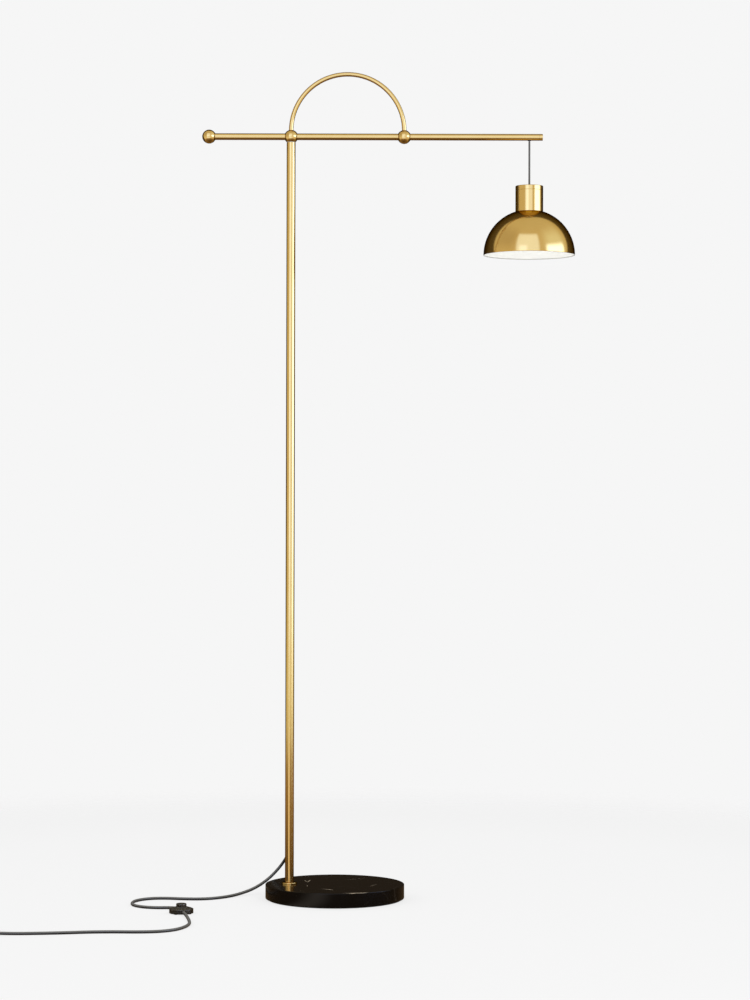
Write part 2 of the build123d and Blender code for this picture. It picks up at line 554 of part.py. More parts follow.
def pendant_pieces():
    bend = Pos(pendant_x, 0, bend_z) * Sphere(LEAD_D / 2)
    cord = rod(LEAD_D, nipple_low, bend_z, pendant_at)
    cord -= Pos(pendant_x, 0, bend_z) * Sphere(LEAD_D / 2 + SWING_GAP)

    lid_low = cup_top - LID_H
    cup_bore = cup_d - 2 * CUP_WALL
    lid = rod(cup_d, lid_low, cup_top, pendant_at)
    lid = fillet(lid.edges().filter_by(GeomType.CIRCLE).sort_by(Axis.Z)[-1], CUP_EDGE)
    lid -= rod(cup_bore, lid_low, cup_top - LID_T, pendant_at)
    plug_d = cup_bore - 2 * SEAT_GAP
    lid += pipe(plug_d, plug_d - 2 * CUP_WALL, lid_low - LID_PLUG, lid_low + LID_PLUG / 2, pendant_at)
    lid += pipe(cup_bore + CUP_WALL, plug_d - CUP_WALL, lid_low, lid_low + LID_PLUG / 2, pendant_at)
    lid -= rod(NIPPLE_D + 2 * SEAT_GAP, lid_low, cup_top, pendant_at)

    nipple_bore = NIPPLE_D - 2 * NIPPLE_WALL
    nipple_high = cup_top - NIPPLE_SUNK
    grip_d = nipple_bore - 2 * SEAT_GAP
    nut = hexagon(NIPPLE_NUT_AF, nut_low, nut_low + NIPPLE_NUT_T, pendant_at)
    nut -= rod(NIPPLE_D + 2 * SEAT_GAP, nut_low, nut_low + NIPPLE_NUT_T, pendant_at)

    holder_bore = HOLDER_D - 2 * HOLDER_WALL
    holder = rod(holder_body_d, flat_z, holder_top, pendant_at)
    holder += rod(HOLDER_D, holder_low, holder_top, pendant_at)
    holder -= rod(holder_bore, holder_low, core_high, pendant_at)
    holder -= rod(holder_bore - 2 * WIRING_STEP, core_high, wiring_high, pendant_at)
    holder -= rod(NIPPLE_D + 2 * SEAT_GAP, wiring_high, holder_top, pendant_at)

    core = rod(holder_bore - 2 * SEAT_GAP, core_low, core_high, pendant_at)
    terminals = []
    for side in (-1, 1):
        at = (pendant_x, side * TERMINAL_PITCH / 2)
        core -= rod(TERMINAL_D + 2 * SEAT_GAP, core_high - TERMINAL_L - SEAT_GAP, core_high, at)
        head = rod(TERMINAL_HEAD_D, core_high + SEAT_GAP, core_high + SEAT_GAP + TERMINAL_HEAD_T, at)
        terminals.append(head + rod(TERMINAL_D, core_high - TERMINAL_L, core_high + TERMINAL_HEAD_T, at))

    screw_shell = pipe(THREAD_D + 2 * THREAD_WALL, THREAD_D, core_low - THREAD_L, core_low, pendant_at)
    screw_shell += pipe(THREAD_D + THREAD_WALL, THREAD_HOLE_D, core_low - THREAD_WALL, core_low, pendant_at)

    foot = CONTACT_L / 3
    tongue = Polyline(
        (-CONTACT_L / 2, 0, core_low),
        (-CONTACT_L / 2 + foot, 0, core_low),
        (-CONTACT_L / 2 + foot + CONTACT_DROP, 0, core_low - CONTACT_DROP),
        (CONTACT_L / 2, 0, core_low - CONTACT_DROP),
        (CONTACT_L / 2, 0, core_low - CONTACT_DROP - CONTACT_T),
        (-CONTACT_L / 2 + foot + CONTACT_DROP - CONTACT_T, 0, core_low - CONTACT_DROP - CONTACT_T),
        (-CONTACT_L / 2 + foot - CONTACT_T, 0, core_low - CONTACT_T),
        (-CONTACT_L / 2, 0, core_low - CONTACT_T),
        close=True,
    )
    contact = extrude(make_face(tongue), CONTACT_W / 2, dir=(0, 1, 0), both=True)

    inner_r = SHADE_R - SHADE_T
    under_flat = flat_z - SHADE_T
    hole_r = HOLDER_D / 2 + SEAT_GAP
    inner_flat_r = sqrt(inner_r ** 2 - (under_flat - rim_z) ** 2)
    bisect = sin(pi / 4)
    shade_line = Polyline(
        (inner_flat_r, 0, under_flat), (hole_r, 0, under_flat), (hole_r, 0, flat_z), (cup_d / 2, 0, flat_z)
    )
    shade_line += ThreePointArc(
        (cup_d / 2, 0, flat_z), (SHADE_R * bisect, 0, rim_z + SHADE_R * bisect), (SHADE_R, 0, rim_z)
    )
    shade_line += Line((SHADE_R, 0, rim_z), (inner_r, 0, rim_z))
    shade_line += ThreePointArc(
        (inner_r, 0, rim_z), (inner_r * bisect, 0, rim_z + inner_r * bisect), (inner_flat_r, 0, under_flat)
    )
    shade = Pos(pendant_x, 0, 0) * revolve(make_face(shade_line), Axis.Z)

    ring_d = HOLDER_D + 2 * SEAT_GAP
    ring_high = under_flat - SEAT_GAP
    return {
        "pendant_cord_bend": bend,
        "pendant_cord": cord,
        "cup_lid": lid,
        "holder_cup": pipe(cup_d, cup_bore, flat_z, lid_low, pendant_at),
        "nipple": pipe(NIPPLE_D, nipple_bore, nipple_low, nipple_high, pendant_at),
        "cord_grip": pipe(grip_d, LEAD_D + 2 * CORD_GAP, nipple_low, nipple_high, pendant_at),
        "nipple_nut": nut,
        "holder_shell": holder,
        "holder_core": core,
        "holder_terminals": Compound(children=terminals),
        "holder_screw_shell": screw_shell,
        "holder_contact": Pos(pendant_x, 0, 0) * contact,
        "shade": shade,
        "shade_ring": pipe(ring_d + 2 * RING_WALL, ring_d, ring_high - RING_H, ring_high, pendant_at),
        **bulb_pieces(),
    }


def bulb_pieces():
    cap_r = BULB_CAP_D / 2
    cap = turned(
        [
            (0, collar_high),
            (cap_r, collar_high),
            (cap_r, bulb_high - BULB_SHOULDER),
            (BULB_TIP_D / 2, bulb_high),
            (0, bulb_high),
        ],
        pendant_at,
    )
    collar = turned(
        [(0, collar_high), (cap_r, collar_high), (COLLAR_D / 2, globe_top), (0, globe_top)], pendant_at
    )
    globe_r = GLOBE_D / 2
    globe_z = globe_top - sqrt(globe_r ** 2 - (COLLAR_D / 2) ** 2)
    globe = Pos(pendant_x, 0, globe_z) * (Sphere(globe_r) - Sphere(globe_r - GLOBE_T))
    globe -= rod(2 * GLOBE_D, globe_top, globe_top + GLOBE_D, pendant_at)
    return {"bulb_cap": cap, "bulb_collar": collar, "bulb_globe": globe}


# Foot switch: two shells, button on a spring, contact module, clamps, screws and rubber feet. Its cover is domed.
# It is made with its cord along +X and then turned into place.

def switch_pieces():
    cord_hole = bar(MAINS_D + 2 * CORD_GAP, (-SWITCH_D, 0, SWITCH_SPLIT), (SWITCH_D, 0, SWITCH_SPLIT))
    bore = SWITCH_D - 2 * SWITCH_WALL
    fixing_r = bore / 2 + SWITCH_BOSS_BITE - SWITCH_BOSS_D / 2
    screw_spots = [(0, fixing_r), (0, -fixing_r)]
    screw_high = cover_z + sqrt(ceiling_r ** 2 - (fixing_r + SWITCH_SCREW_D / 2) ** 2) - SWITCH_SCREW_TOP
    ceiling = Pos(0, 0, cover_z) * Sphere(ceiling_r)

    lower = rod(SWITCH_D, switch_low, SWITCH_SPLIT) - rod(bore, switch_floor, SWITCH_SPLIT)
    upper = rod(SWITCH_D, SWITCH_SPLIT, button_high) & Pos(0, 0, cover_z) * Sphere(cover_r)
    upper = fillet(upper.edges().filter_by(lambda edge: edge.is_closed).sort_by(Axis.Z)[-1], SWITCH_EDGE)
    upper -= rod(bore, SWITCH_SPLIT, SWITCH_H) & ceiling
    upper -= rod(BUTTON_D + 2 * RUN_GAP, SWITCH_SPLIT, SWITCH_H)
    boss_end = Pos(0, 0, cover_z) * Sphere(cover_r - SWITCH_TOP_T / 2)
    screws = []
    head_high = switch_low + SEAT_GAP + SWITCH_SCREW_HEAD_T
    for at in screw_spots:
        lower += rod(SWITCH_BOSS_D, switch_low, SWITCH_SPLIT, at)
        upper += rod(SWITCH_BOSS_D, SWITCH_SPLIT, SWITCH_H, at) & boss_end
        lower -= rod(SWITCH_SCREW_D + 2 * SEAT_GAP, switch_low, SWITCH_SPLIT, at)
        lower -= rod(SWITCH_SCREW_HEAD_D + 2 * SEAT_GAP, switch_low, head_high + SEAT_GAP, at)
        upper -= rod(SWITCH_SCREW_D + 2 * SEAT_GAP, SWITCH_SPLIT, screw_high + SEAT_GAP, at)
        head = rod(SWITCH_SCREW_HEAD_D, switch_low + SEAT_GAP, head_high, at)
        screws.append(head + rod(SWITCH_SCREW_D, switch_low + SEAT_GAP, screw_high, at))
    lower -= cord_hole
    upper -= cord_hole

    feet = []
    for quarter in range(4):
        corner = radians(45 + 90 * quarter)
        feet.append(rod(SWITCH_FOOT_D, 0, switch_low, (fixing_r * cos(corner), fixing_r * sin(corner))))

    clamps = []
    clamp_low = SWITCH_SPLIT + MAINS_D / 2 + CORD_GAP
    clamp_x = SWITCH_D / 2 - SWITCH_WALL - SEAT_GAP - CLAMP_L
    clamp_room = rod(bore - 2 * SEAT_GAP, clamp_low, SWITCH_H) & Pos(0, 0, cover_z) * Sphere(ceiling_r - SEAT_GAP)
    for side in (-1, 1):
        place = Pos(side * (clamp_x + CLAMP_L / 2), 0, clamp_low)
        clamps.append(place * Box(CLAMP_L, CLAMP_W, SWITCH_H - clamp_low, align=BOTTOM) & clamp_room)

    lip_low = lip_high - BUTTON_LIP_T
    button = rod(BUTTON_D, lip_low, button_high)
    button = fillet(button.edges().filter_by(GeomType.CIRCLE).sort_by(Axis.Z)[-1], BUTTON_EDGE)
    button += rod(2 * lip_r, lip_low, lip_high)
    button -= rod(BUTTON_D - 2 * BUTTON_WALL, lip_low, spring_high)

    module = Pos(0, 0, switch_floor) * Box(*MODULE_SIZE, MODULE_H - SEAT_GAP, align=BOTTOM)

    height = spring_high - spring_low - SPRING_WIRE - 2 * SEAT_GAP
    rise = height / (2 * SPRING_TURNS)
    slope = Vector(0, pi * SPRING_D / 2, rise).normalized()
    stations = []
    for half in range(2 * SPRING_TURNS + 1):
        side = 1 if half % 2 == 0 else -1
        level = spring_low + SEAT_GAP + SPRING_WIRE / 2 + rise * half
        stations.append((Vector(side * SPRING_D / 2, 0, level), Vector(0, side * slope.Y, slope.Z)))
    spring_path = wound_path(stations, 0, 0)
    print("switch_spring least gap", round(self_gap(spring_path, SPRING_WIRE), 2))
    spring = tube_along(spring_path, SPRING_WIRE)

    place = Pos(SWITCH_AT[0], SWITCH_AT[1], 0) * Rot(Z=SWITCH_TURN)
    pieces = {
        "switch_lower_shell": lower,
        "switch_upper_shell": upper,
        "switch_screws": Compound(children=screws),
        "switch_feet": Compound(children=feet),
        "switch_cord_clamps": Compound(children=clamps),
        "switch_module": module,
        "switch_spring": spring,
        "switch_button": button,
    }
    return {name: place * piece for name, piece in pieces.items()}


# Mains cord: from the pole to the switch, on to the coil, and from the coil to the plug

def mains_pieces():
    exit_y = POLE_D / 2 + RELIEF_L
    along = Vector(cos(radians(SWITCH_TURN)), sin(radians(SWITCH_TURN)), 0)
    middle = Vector(SWITCH_AT[0], SWITCH_AT[1], SWITCH_SPLIT)
    cord_end = SWITCH_D / 2 - CORD_IN
    lie = cord_lie
    to_switch = [
        (POLE_X, exit_y, OUTLET_Z),
        (POLE_X, exit_y + CORD_STRAIGHT, OUTLET_Z),
        (-85, 66, 75),
        (-92, 81, 60),
        (-106, 83, 41),
        (-125, 74, 23),
        (-149, 56, 9.4),
        (-176, 28, 3.3),
        (-200, -4, lie),
        (-232, -26, lie),
        (-271, -25, lie),
        (-302, -16, lie),
        (-333.5, -20, lie),
        (-357.5, -50, lie),
        (-358.5, -97, lie),
        (-337.5, -124, lie),
        (-311.5, -133, lie),
        (-289, -134, lie + 0.5),
        middle - along * (cord_end + CORD_APPROACH),
        middle - along * cord_end,
    ]
    pitch = MAINS_D + COIL_GAP
    coil_z = COIL_LIFT + MAINS_D / 2
    coil_start = Vector(COIL_AT[0], COIL_AT[1], coil_z)
    to_coil = [
        middle + along * cord_end,
        middle + along * (cord_end + CORD_APPROACH),
        (-248, -245, lie + 0.3),
        (-242.5, -282, lie),
        (-239.5, -316, lie),
        (-244.5, -348, lie),
        (-258, -379, lie),
        (-283, -398.5, lie),
        (-318, -404, lie),
        (-358, -402, lie),
        (-400, -405, lie),
        (-438, -414, lie),
        (-478, -420, lie),
        (-520, -424, lie),
        (-557, COIL_AT[1], coil_z),
        (COIL_AT[0] + MAINS_D, COIL_AT[1], coil_z),
    ]

    coil_path, coil_end = coil_route(coil_start, pitch)
    print("mains_cord_coil length", round(coil_path.length),
          "least gap", round(self_gap(coil_path, MAINS_D), 2))
    plug_entry = Vector(coil_end.X, coil_end.Y + PLUG_LEAD_L, plug_z)
    to_plug = [
        coil_end,
        coil_end + Vector(0, PLUG_LEAD_END, 0),
        plug_entry - Vector(0, PLUG_LEAD_END, 0),
        plug_entry,
    ]
    return {
        "mains_cord_to_switch": cord_run("mains_cord_to_switch", to_switch, MAINS_D),
        "mains_cord_to_coil": cord_run("mains_cord_to_coil", to_coil, MAINS_D),
        "mains_cord_coil": tube_along(coil_path, MAINS_D),
        "mains_cord_to_plug": cord_run("mains_cord_to_plug", to_plug, MAINS_D),
        "coil_tie": coil_tie(coil_start, pitch),
        **plug_pieces(plug_entry),
    }


def coil_route(start, pitch):
    """Spiral in on the lower layer, climb in one half turn, and spiral out again on the upper layer."""
    left = Vector(-1, 0, 0)
    spot = start
    side = 1
    stations = [(spot, left)]
    turns = 2 * COIL_HALF_TURNS_IN + 1
    for half in range(turns):
        radius = COIL_R - pitch / 2 * (COIL_HALF_TURNS_IN - abs(half - COIL_HALF_TURNS_IN))
        outer = spot + Vector(-side * radius, side * radius, 0)
        if half == turns - 1:
            stations.append((outer, Vector(0, side, 0)))
            break
        end = spot + Vector(0, 2 * side * radius, 0)
        if half == COIL_HALF_TURNS_IN:
            slope = CLIMB_EASE * pitch / (pi * radius)
            stations.append((outer + Vector(0, 0, pitch / 2), Vector(0, side, slope).normalized()))
            end += Vector(0, 0, pitch)
        side = -side
        stations.append((end, left * side))
        spot = end
    last, heading = stations[-1]
    return wound_path(stations, MAINS_D, MAINS_D), last + heading * MAINS_D


def coil_tie(start, pitch):
    """Strap round the bundle, at the back of the coil."""
    bundle_far = start.Y + 2 * COIL_R + MAINS_D / 2
    bundle_near = start.Y + 2 * COIL_R - COIL_HALF_TURNS_IN / 2 * pitch - MAINS_D / 2
    inner_l = bundle_far - bundle_near + 2 * TIE_ROOM
    inner_h = 2 * MAINS_D + COIL_GAP + 2 * (COIL_LIFT - TIE_T)
    corner = MAINS_D / 4
    section = RectangleRounded(inner_l + 2 * TIE_T, inner_h + 2 * TIE_T, corner + TIE_T)
    section -= RectangleRounded(inner_l, inner_h, corner)
    middle = (start.X, (bundle_far + bundle_near) / 2, inner_h / 2 + TIE_T)
    place = Plane(origin=middle, x_dir=(0, 1, 0), z_dir=(1, 0, 0))
    return place * extrude(section, TIE_W / 2, both=True)


def plug_pieces(entry):
    """Flat two-pin plug lying on the floor, its cord entering along +Y."""
    x = entry.X
    body_low_y = entry.Y + PLUG_RELIEF_L
    face_y = body_low_y + PLUG_L
    outline = make_face(Polyline(
        (x - PLUG_NECK_W / 2, body_low_y),
        (x + PLUG_NECK_W / 2, body_low_y),
        (x + PLUG_W / 2, body_low_y + PLUG_FLARE_AT),
        (x + PLUG_W / 2, face_y),
        (x - PLUG_W / 2, face_y),
        (x - PLUG_W / 2, body_low_y + PLUG_FLARE_AT),
        close=True,
    ))
    body = extrude(outline, PLUG_T)
    body = fillet(body.edges(), PLUG_EDGE)
    relief_cone = Cone(PLUG_RELIEF_TIP_D / 2, PLUG_RELIEF_D / 2, PLUG_RELIEF_L + PLUG_EDGE, align=BOTTOM)
    relief = Plane(origin=entry, z_dir=(0, 1, 0)) * relief_cone
    slot_step = PLUG_RELIEF_L / (PLUG_RELIEF_SLOTS + 1)
    slot_core = MAINS_D + 2 * PLUG_RELIEF_CORE
    for slot in range(1, PLUG_RELIEF_SLOTS + 1):
        groove_at = entry + Vector(0, slot * slot_step, 0)
        groove_end = groove_at + Vector(0, PLUG_RELIEF_SLOT_W, 0)
        relief -= bar(2 * PLUG_RELIEF_D, groove_at, groove_end) - bar(slot_core, groove_at, groove_end)
    body += relief

    pins = []
    sleeves = []
    for side in (-1, 1):
        root = Vector(x + side * PIN_PITCH / 2, face_y - PIN_ROOT, plug_z)
        tip = root + Vector(0, PIN_ROOT + PIN_L, 0)
        bare = Vector(root.X, face_y + SLEEVE_L, plug_z)
        pin = bar(PIN_D, bare, tip)
        pin = fillet(pin.edges().filter_by(GeomType.CIRCLE).sort_by(Axis.Y)[-1], PIN_D / 4)
        pins.append(pin + bar(PIN_CORE_D, root, bare))
        sleeve_root = Vector(root.X, face_y - SLEEVE_ROOT, plug_z)
        sleeve_tip = bare - Vector(0, SEAT_GAP, 0)
        core_hole = PIN_CORE_D + 2 * SEAT_GAP
        sleeves.append(bar(SLEEVE_D, sleeve_root, sleeve_tip) - bar(core_hole, sleeve_root, sleeve_tip))
        body -= bar(core_hole, root - Vector(0, SEAT_GAP, 0), bare)
        body -= bar(SLEEVE_D + 2 * SEAT_GAP, sleeve_root - Vector(0, SEAT_GAP, 0), bare)
    return {
        "plug_body": body,
        "plug_pins": Compound(children=pins),
        "plug_pin_sleeves": Compound(children=sleeves),
    }


nodes = {
    **base_pieces(),
    **pole_pieces(),
    **swivel_pieces(),
    **arm_pieces(),
    **pendant_pieces(),
    **switch_pieces(),
    **mains_pieces(),
}
for node, solid in nodes.items():
    export_step(solid, f"parts/{node}.step")
print(len(nodes), "pieces, top of the arch at", ARM_Z + ARCH_LEG + ARCH_SPAN / 2 + ARCH_D / 2,
      "rim of the shade at", round(rim_z, 1))
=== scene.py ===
from math import asin, cos, pi, radians, sin, sqrt, tan

import bmesh
import bpy
from mathutils import Euler, Matrix, Vector


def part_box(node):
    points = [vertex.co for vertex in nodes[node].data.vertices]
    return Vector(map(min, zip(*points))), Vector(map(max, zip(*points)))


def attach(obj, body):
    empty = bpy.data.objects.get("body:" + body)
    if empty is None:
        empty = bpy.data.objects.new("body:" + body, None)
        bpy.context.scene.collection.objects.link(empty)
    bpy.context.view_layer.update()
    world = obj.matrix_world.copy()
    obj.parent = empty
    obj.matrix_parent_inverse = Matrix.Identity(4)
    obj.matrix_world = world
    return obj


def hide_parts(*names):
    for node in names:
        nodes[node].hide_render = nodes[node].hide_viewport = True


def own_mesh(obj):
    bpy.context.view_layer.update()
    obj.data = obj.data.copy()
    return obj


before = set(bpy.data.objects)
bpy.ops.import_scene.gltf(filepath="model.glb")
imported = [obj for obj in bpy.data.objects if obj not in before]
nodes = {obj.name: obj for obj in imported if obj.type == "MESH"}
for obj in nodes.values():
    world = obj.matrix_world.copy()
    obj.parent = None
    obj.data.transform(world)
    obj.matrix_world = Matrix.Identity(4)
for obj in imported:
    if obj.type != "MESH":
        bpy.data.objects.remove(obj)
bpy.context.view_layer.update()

# A slim brass floor lamp: a black marble disc, an off-centre pole, a cross arm with an arch, and a half-dome
# shade that hangs on a short cord. Metres, in the lamp's own frame: +Z up, the arm along +X, the back at +Y.
MM = 0.001


# Camera: a long lens far in front of the lamp, at about hip height, tilted up and rolled by a hair.
def placed(name, data):
    """New object in the scene."""
    thing = bpy.data.objects.new(name, data)
    bpy.context.scene.collection.objects.link(thing)
    return thing


CAMERA_SPOT = Vector((0.0708, -4.793, 0.692))
CAMERA_TILT = radians(0.32)
CAMERA_ROLL = radians(0.132)
SENSOR_MM = 36
LENS_MM = 95.67
camera = placed("camera", bpy.data.cameras.new("camera"))
camera.data.sensor_width = SENSOR_MM
camera.data.lens = LENS_MM
level_forward = Euler((pi / 2 + CAMERA_TILT, 0, 0)).to_matrix().to_4x4()
camera.matrix_world = Matrix.Translation(CAMERA_SPOT) @ level_forward @ Matrix.Rotation(CAMERA_ROLL, 4, "Z")
bpy.context.scene.camera = camera


# Marble disc: a sawn round of black stone, polished all over, with eased arrises and a few pale veins.
# It is the lamp's weight. A well in its underside takes the nut of the stud that holds the pole.
def linear(code):
    """Linear RGBA of an sRGB hex colour."""
    shares = [int(code[i:i + 2], 16) / 255 for i in (0, 2, 4)]
    return (*[s / 12.92 if s <= 0.04045 else ((s + 0.055) / 1.055) ** 2.4 for s in shares], 1.0)


def feed(tree, node, inputs):
    """Sets a node's inputs, by name or in their order, to values, sockets or the first outputs of nodes."""
    for name, value in inputs.items() if isinstance(inputs, dict) else enumerate(inputs):
        if isinstance(value, bpy.types.Node):
            value = next(socket for socket in value.outputs if socket.enabled)
        if isinstance(value, bpy.types.NodeSocket):
            tree.links.new(value, node.inputs[name])
        else:
            node.inputs[name].default_value = value


def put(tree, kind, inputs=(), operation=None, **settings):
    """Adds a node with its operation, settings, values and links."""
    node = tree.nodes.new(kind)
    if operation:
        node.operation = operation
    for name, value in settings.items():
        setattr(node, name, value)
    feed(tree, node, inputs)
    return node


def calc(tree, operation, *values):
    """Result of a sum on values and nodes."""
    return put(tree, "ShaderNodeMath", values, operation)


def axes_of(tree, vector):
    """X, Y and Z of a vector."""
    return put(tree, "ShaderNodeSeparateXYZ", [vector]).outputs


def noise(tree, spot, size, detail, **others):
    """Soft noise in patches of a size."""
    return put(tree, "ShaderNodeTexNoise", {"Vector": spot, "Scale": 1 / size, "Detail": detail, **others})


SMOOTH = "SMOOTHSTEP"


def ramp(tree, measure, start, end, low=0.0, high=1.0, kind="LINEAR"):
    """Value that goes from low to high while a measure goes from start to end."""
    limits = {"From Min": start, "From Max": end, "To Min": low, "To Max": high}
    return put(tree, "ShaderNodeMapRange", {"Value": measure, **limits}, interpolation_type=kind)


def blend(tree, share, first, second):
    """Colour between two, by a share. Each is an sRGB hex colour, linear RGBA or a node."""
    first, second = [linear(colour) if isinstance(colour, str) else colour for colour in (first, second)]
    return put(tree, "ShaderNodeMix", {"Factor": share, "A": first, "B": second}, data_type="RGBA")


def bump(tree, height, depth, strength):
    """Relief that a height gives a surface."""
    return put(tree, "ShaderNodeBump", {"Height": height, "Distance": depth, "Strength": strength})


def workings(material):
    """A finish's node tree, its shader and the piece's own coordinates."""
    tree = material.node_tree
    return tree, tree.nodes["Principled BSDF"], tree.nodes["Texture Coordinate"].outputs["Object"]


def new_finish(name):
    """New material, with its workings."""
    material = bpy.data.materials.new(name)
    material.use_nodes = True
    put(material.node_tree, "ShaderNodeTexCoord")
    return material, *workings(material)


def eased(corners, steps=5):
    """Outline of (radius, height) points from corners of (radius, height, rounding)."""
    outline = []
    for index, (radius, height, rounding) in enumerate(corners):
        corner = Vector((radius, height))
        if not rounding:
            outline.append(corner)
            continue
        back = (Vector(corners[index - 1][:2]) - corner).normalized()
        ahead = (Vector(corners[(index + 1) % len(corners)][:2]) - corner).normalized()
        half = back.angle(ahead) / 2
        centre = corner + (back + ahead).normalized() * rounding / sin(half)
        first = corner + back * rounding / tan(half) - centre
        last = corner + ahead * rounding / tan(half) - centre
        sweep = first.angle(last)
        outline.append(centre + first + back * rounding / steps)
        for step in range(steps + 1):
            share = step / steps
            arm = first * sin((1 - share) * sweep) + last * sin(share * sweep)
            outline.append(centre + arm / sin(sweep))
        outline.append(centre + last + ahead * rounding / steps)
    return outline


def tube_outline(bore, radius, low, high, low_edge, high_edge):
    """Outline of a plain tube, or of a disc where the bore is 0, with eased outer edges."""
    return eased([(bore, low, 0), (radius, low, low_edge), (radius, high, high_edge), (bore, high, 0)])


UPRIGHT = Matrix.Identity(4)


def turned_shape(outline, spot, axis=UPRIGHT, around=96, ring=False):
    """Round body turned from (radius, height) points about an axis at spot. A ring's outline is closed."""
    shape = bmesh.new()
    circles = []
    for radius, height in outline:
        count = around if radius > 0 else 1
        turns = [2 * pi * step / around for step in range(count)]
        circles.append([shape.verts.new((radius * cos(t), radius * sin(t), height)) for t in turns])
    bands = list(zip(circles, circles[1:] + circles[:1]))
    for low, high in bands if ring else bands[:-1]:
        if len(low) == len(high) == 1:
            continue
        for step in range(around):
            after = (step + 1) % around
            below = low[step % len(low)], low[after % len(low)]
            above = high[after % len(high)], high[step % len(high)]
            shape.faces.new(dict.fromkeys(below + above))
    bmesh.ops.recalc_face_normals(shape, faces=shape.faces)
    bmesh.ops.transform(shape, matrix=Matrix.Translation(spot) @ axis, verts=shape.verts)
    return shape


CREASE = radians(32)


def smoothed(mesh):
    """Shades a mesh smooth, with sharp edges where its faces meet at an angle."""
    mesh.shade_smooth()
    mesh.set_sharp_from_angle(angle=CREASE)


def shown(name, shape, *materials):
    """Object of a finished bmesh, in its materials."""
    mesh = bpy.data.meshes.new(name)
    shape.to_mesh(mesh)
    shape.free()
    smoothed(mesh)
    for material in materials:
        mesh.materials.append(material)
    return placed(name, mesh)


def settled(piece):
    """Turns what a piece's modifiers make of it into its plain mesh."""
    mesh = bpy.data.meshes.new_from_object(piece.evaluated_get(bpy.context.evaluated_depsgraph_get()))
    piece.modifiers.clear()
    piece.data = mesh
    smoothed(mesh)
    return piece


DRILL_SIDES = 48


def drilled(piece, *holes):
    """Cuts round holes of (diameter, start, end) through a piece."""
    for diameter, start, end in holes:
        start, end = Vector(start), Vector(end)
        aim = (end - start).to_track_quat("Z", "Y").to_matrix().to_4x4()
        drill = bmesh.new()
        bmesh.ops.create_cone(
            drill, cap_ends=True, segments=DRILL_SIDES, radius1=diameter / 2, radius2=diameter / 2,
            depth=(end - start).length, matrix=Matrix.Translation((start + end) / 2) @ aim,
        )
        cutter = shown("drill", drill)
        cut = piece.modifiers.new("hole", "BOOLEAN")
        cut.object = cutter
        cut.solver = "EXACT"
        settled(piece)
        bpy.data.objects.remove(cutter)


def stands_for(piece, body, slot, *names):
    """Makes a piece ride on a body in place of CAD nodes. The slot it is given is not used."""
    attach(piece, body)
    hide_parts(*names)


def turned(name, outline, spot, material, body, slot, node, holes=(), **how):
    """Round piece, turned and drilled, that rides on a body in place of a CAD node."""
    piece = shown(name, turned_shape(outline, spot, **how), material)
    drilled(piece, *holes)
    stands_for(piece, body, slot, node)
    return piece


X, Y, Z = range(3)


def middle(name, axis):
    """Middle of a CAD node's box along an axis."""
    low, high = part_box(name)
    return (low[axis] + high[axis]) / 2


# Polished black limestone: nearly black with a warm cast, mirror smooth, clouded by dark grey and crossed by
# hair veins. The clouds are about 60 mm wide. The brightest veins are drawn one by one, as tapering strokes,
# and so is a painted highlight along the front arris.
stone_low, stone_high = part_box("base_disc")
black_marble, tree, shader, spot = new_finish("polished_black_marble")
clouds = noise(tree, spot, 60 * MM, 8.0, Roughness=0.6)
warped = put(tree, "ShaderNodeVectorMath", {0: clouds.outputs["Color"], "Scale": 22 * MM}, "SCALE")
bent = put(tree, "ShaderNodeVectorMath", [spot, warped], "ADD")
cracks = put(tree, "ShaderNodeTexVoronoi", {"Vector": bent, "Scale": 1 / (75 * MM)},
             feature="DISTANCE_TO_EDGE")
hair = ramp(tree, cracks, 0.0, 0.012, 0.04, 0.0, SMOOTH)
patches = noise(tree, spot, 90 * MM, 2.0)
sparse = ramp(tree, patches, 0.5, 0.68)
veins_and_arris_highlight = calc(tree, "MULTIPLY", hair, sparse)
wavy = noise(tree, spot, 9 * MM, 3.0)
STROKE_STRAY = 2.4
STROKE_EDGE, STROKE_CORE = 1.0, 0.2
THROUGH = 1000
VEIN_AND_HIGHLIGHT_STROKES = (
    # middle x and y, heading in degrees, half length, half width and depth below the top in mm, bow
    (-53, 34, 107, 16, 1.6, THROUGH, 0.3),
    (-47, 36, 82, 18, 1.6, THROUGH, -0.3),
    (-49, -26, 95, 11, 0.8, THROUGH, 0.4),
    (-11, -71, -36, 17, 2.0, THROUGH, 2.2),
    (36, 62, 25, 26, 0.6, THROUGH, 0.8),
    (70, -18, 62, 20, 0.6, THROUGH, -0.9),
    # Not a vein: a painted highlight along the stone's front arris, kept to its top millimetre.
    (38, -117, 15, 27, 4.0, 1.0, -0.5),
)
for x, y, heading, half_length, half_width, depth, bow in VEIN_AND_HIGHLIGHT_STROKES:
    local = put(tree, "ShaderNodeMapping", {
        "Vector": spot, "Location": (x * MM, y * MM, stone_high.z), "Rotation": (0, 0, radians(heading)),
        "Scale": (half_length * MM, half_width * MM, depth * MM)}, vector_type="TEXTURE")
    sides = axes_of(tree, local)
    along = calc(tree, "POWER", sides["X"], 2.0)
    arched = calc(tree, "MULTIPLY_ADD", along, bow, sides["Y"])
    strayed = calc(tree, "MULTIPLY_ADD", wavy, STROKE_STRAY, arched)
    off = calc(tree, "SUBTRACT", strayed, STROKE_STRAY / 2)
    across = calc(tree, "ABSOLUTE", off)
    flat = calc(tree, "ADD", along, across)
    reach = calc(tree, "MULTIPLY_ADD", sides["Z"], sides["Z"], flat)
    stroke = ramp(tree, reach, STROKE_EDGE, STROKE_CORE)
    veins_and_arris_highlight = calc(tree, "MAXIMUM", veins_and_arris_highlight, stroke)
body = blend(tree, clouds, "060504", "110D0A")
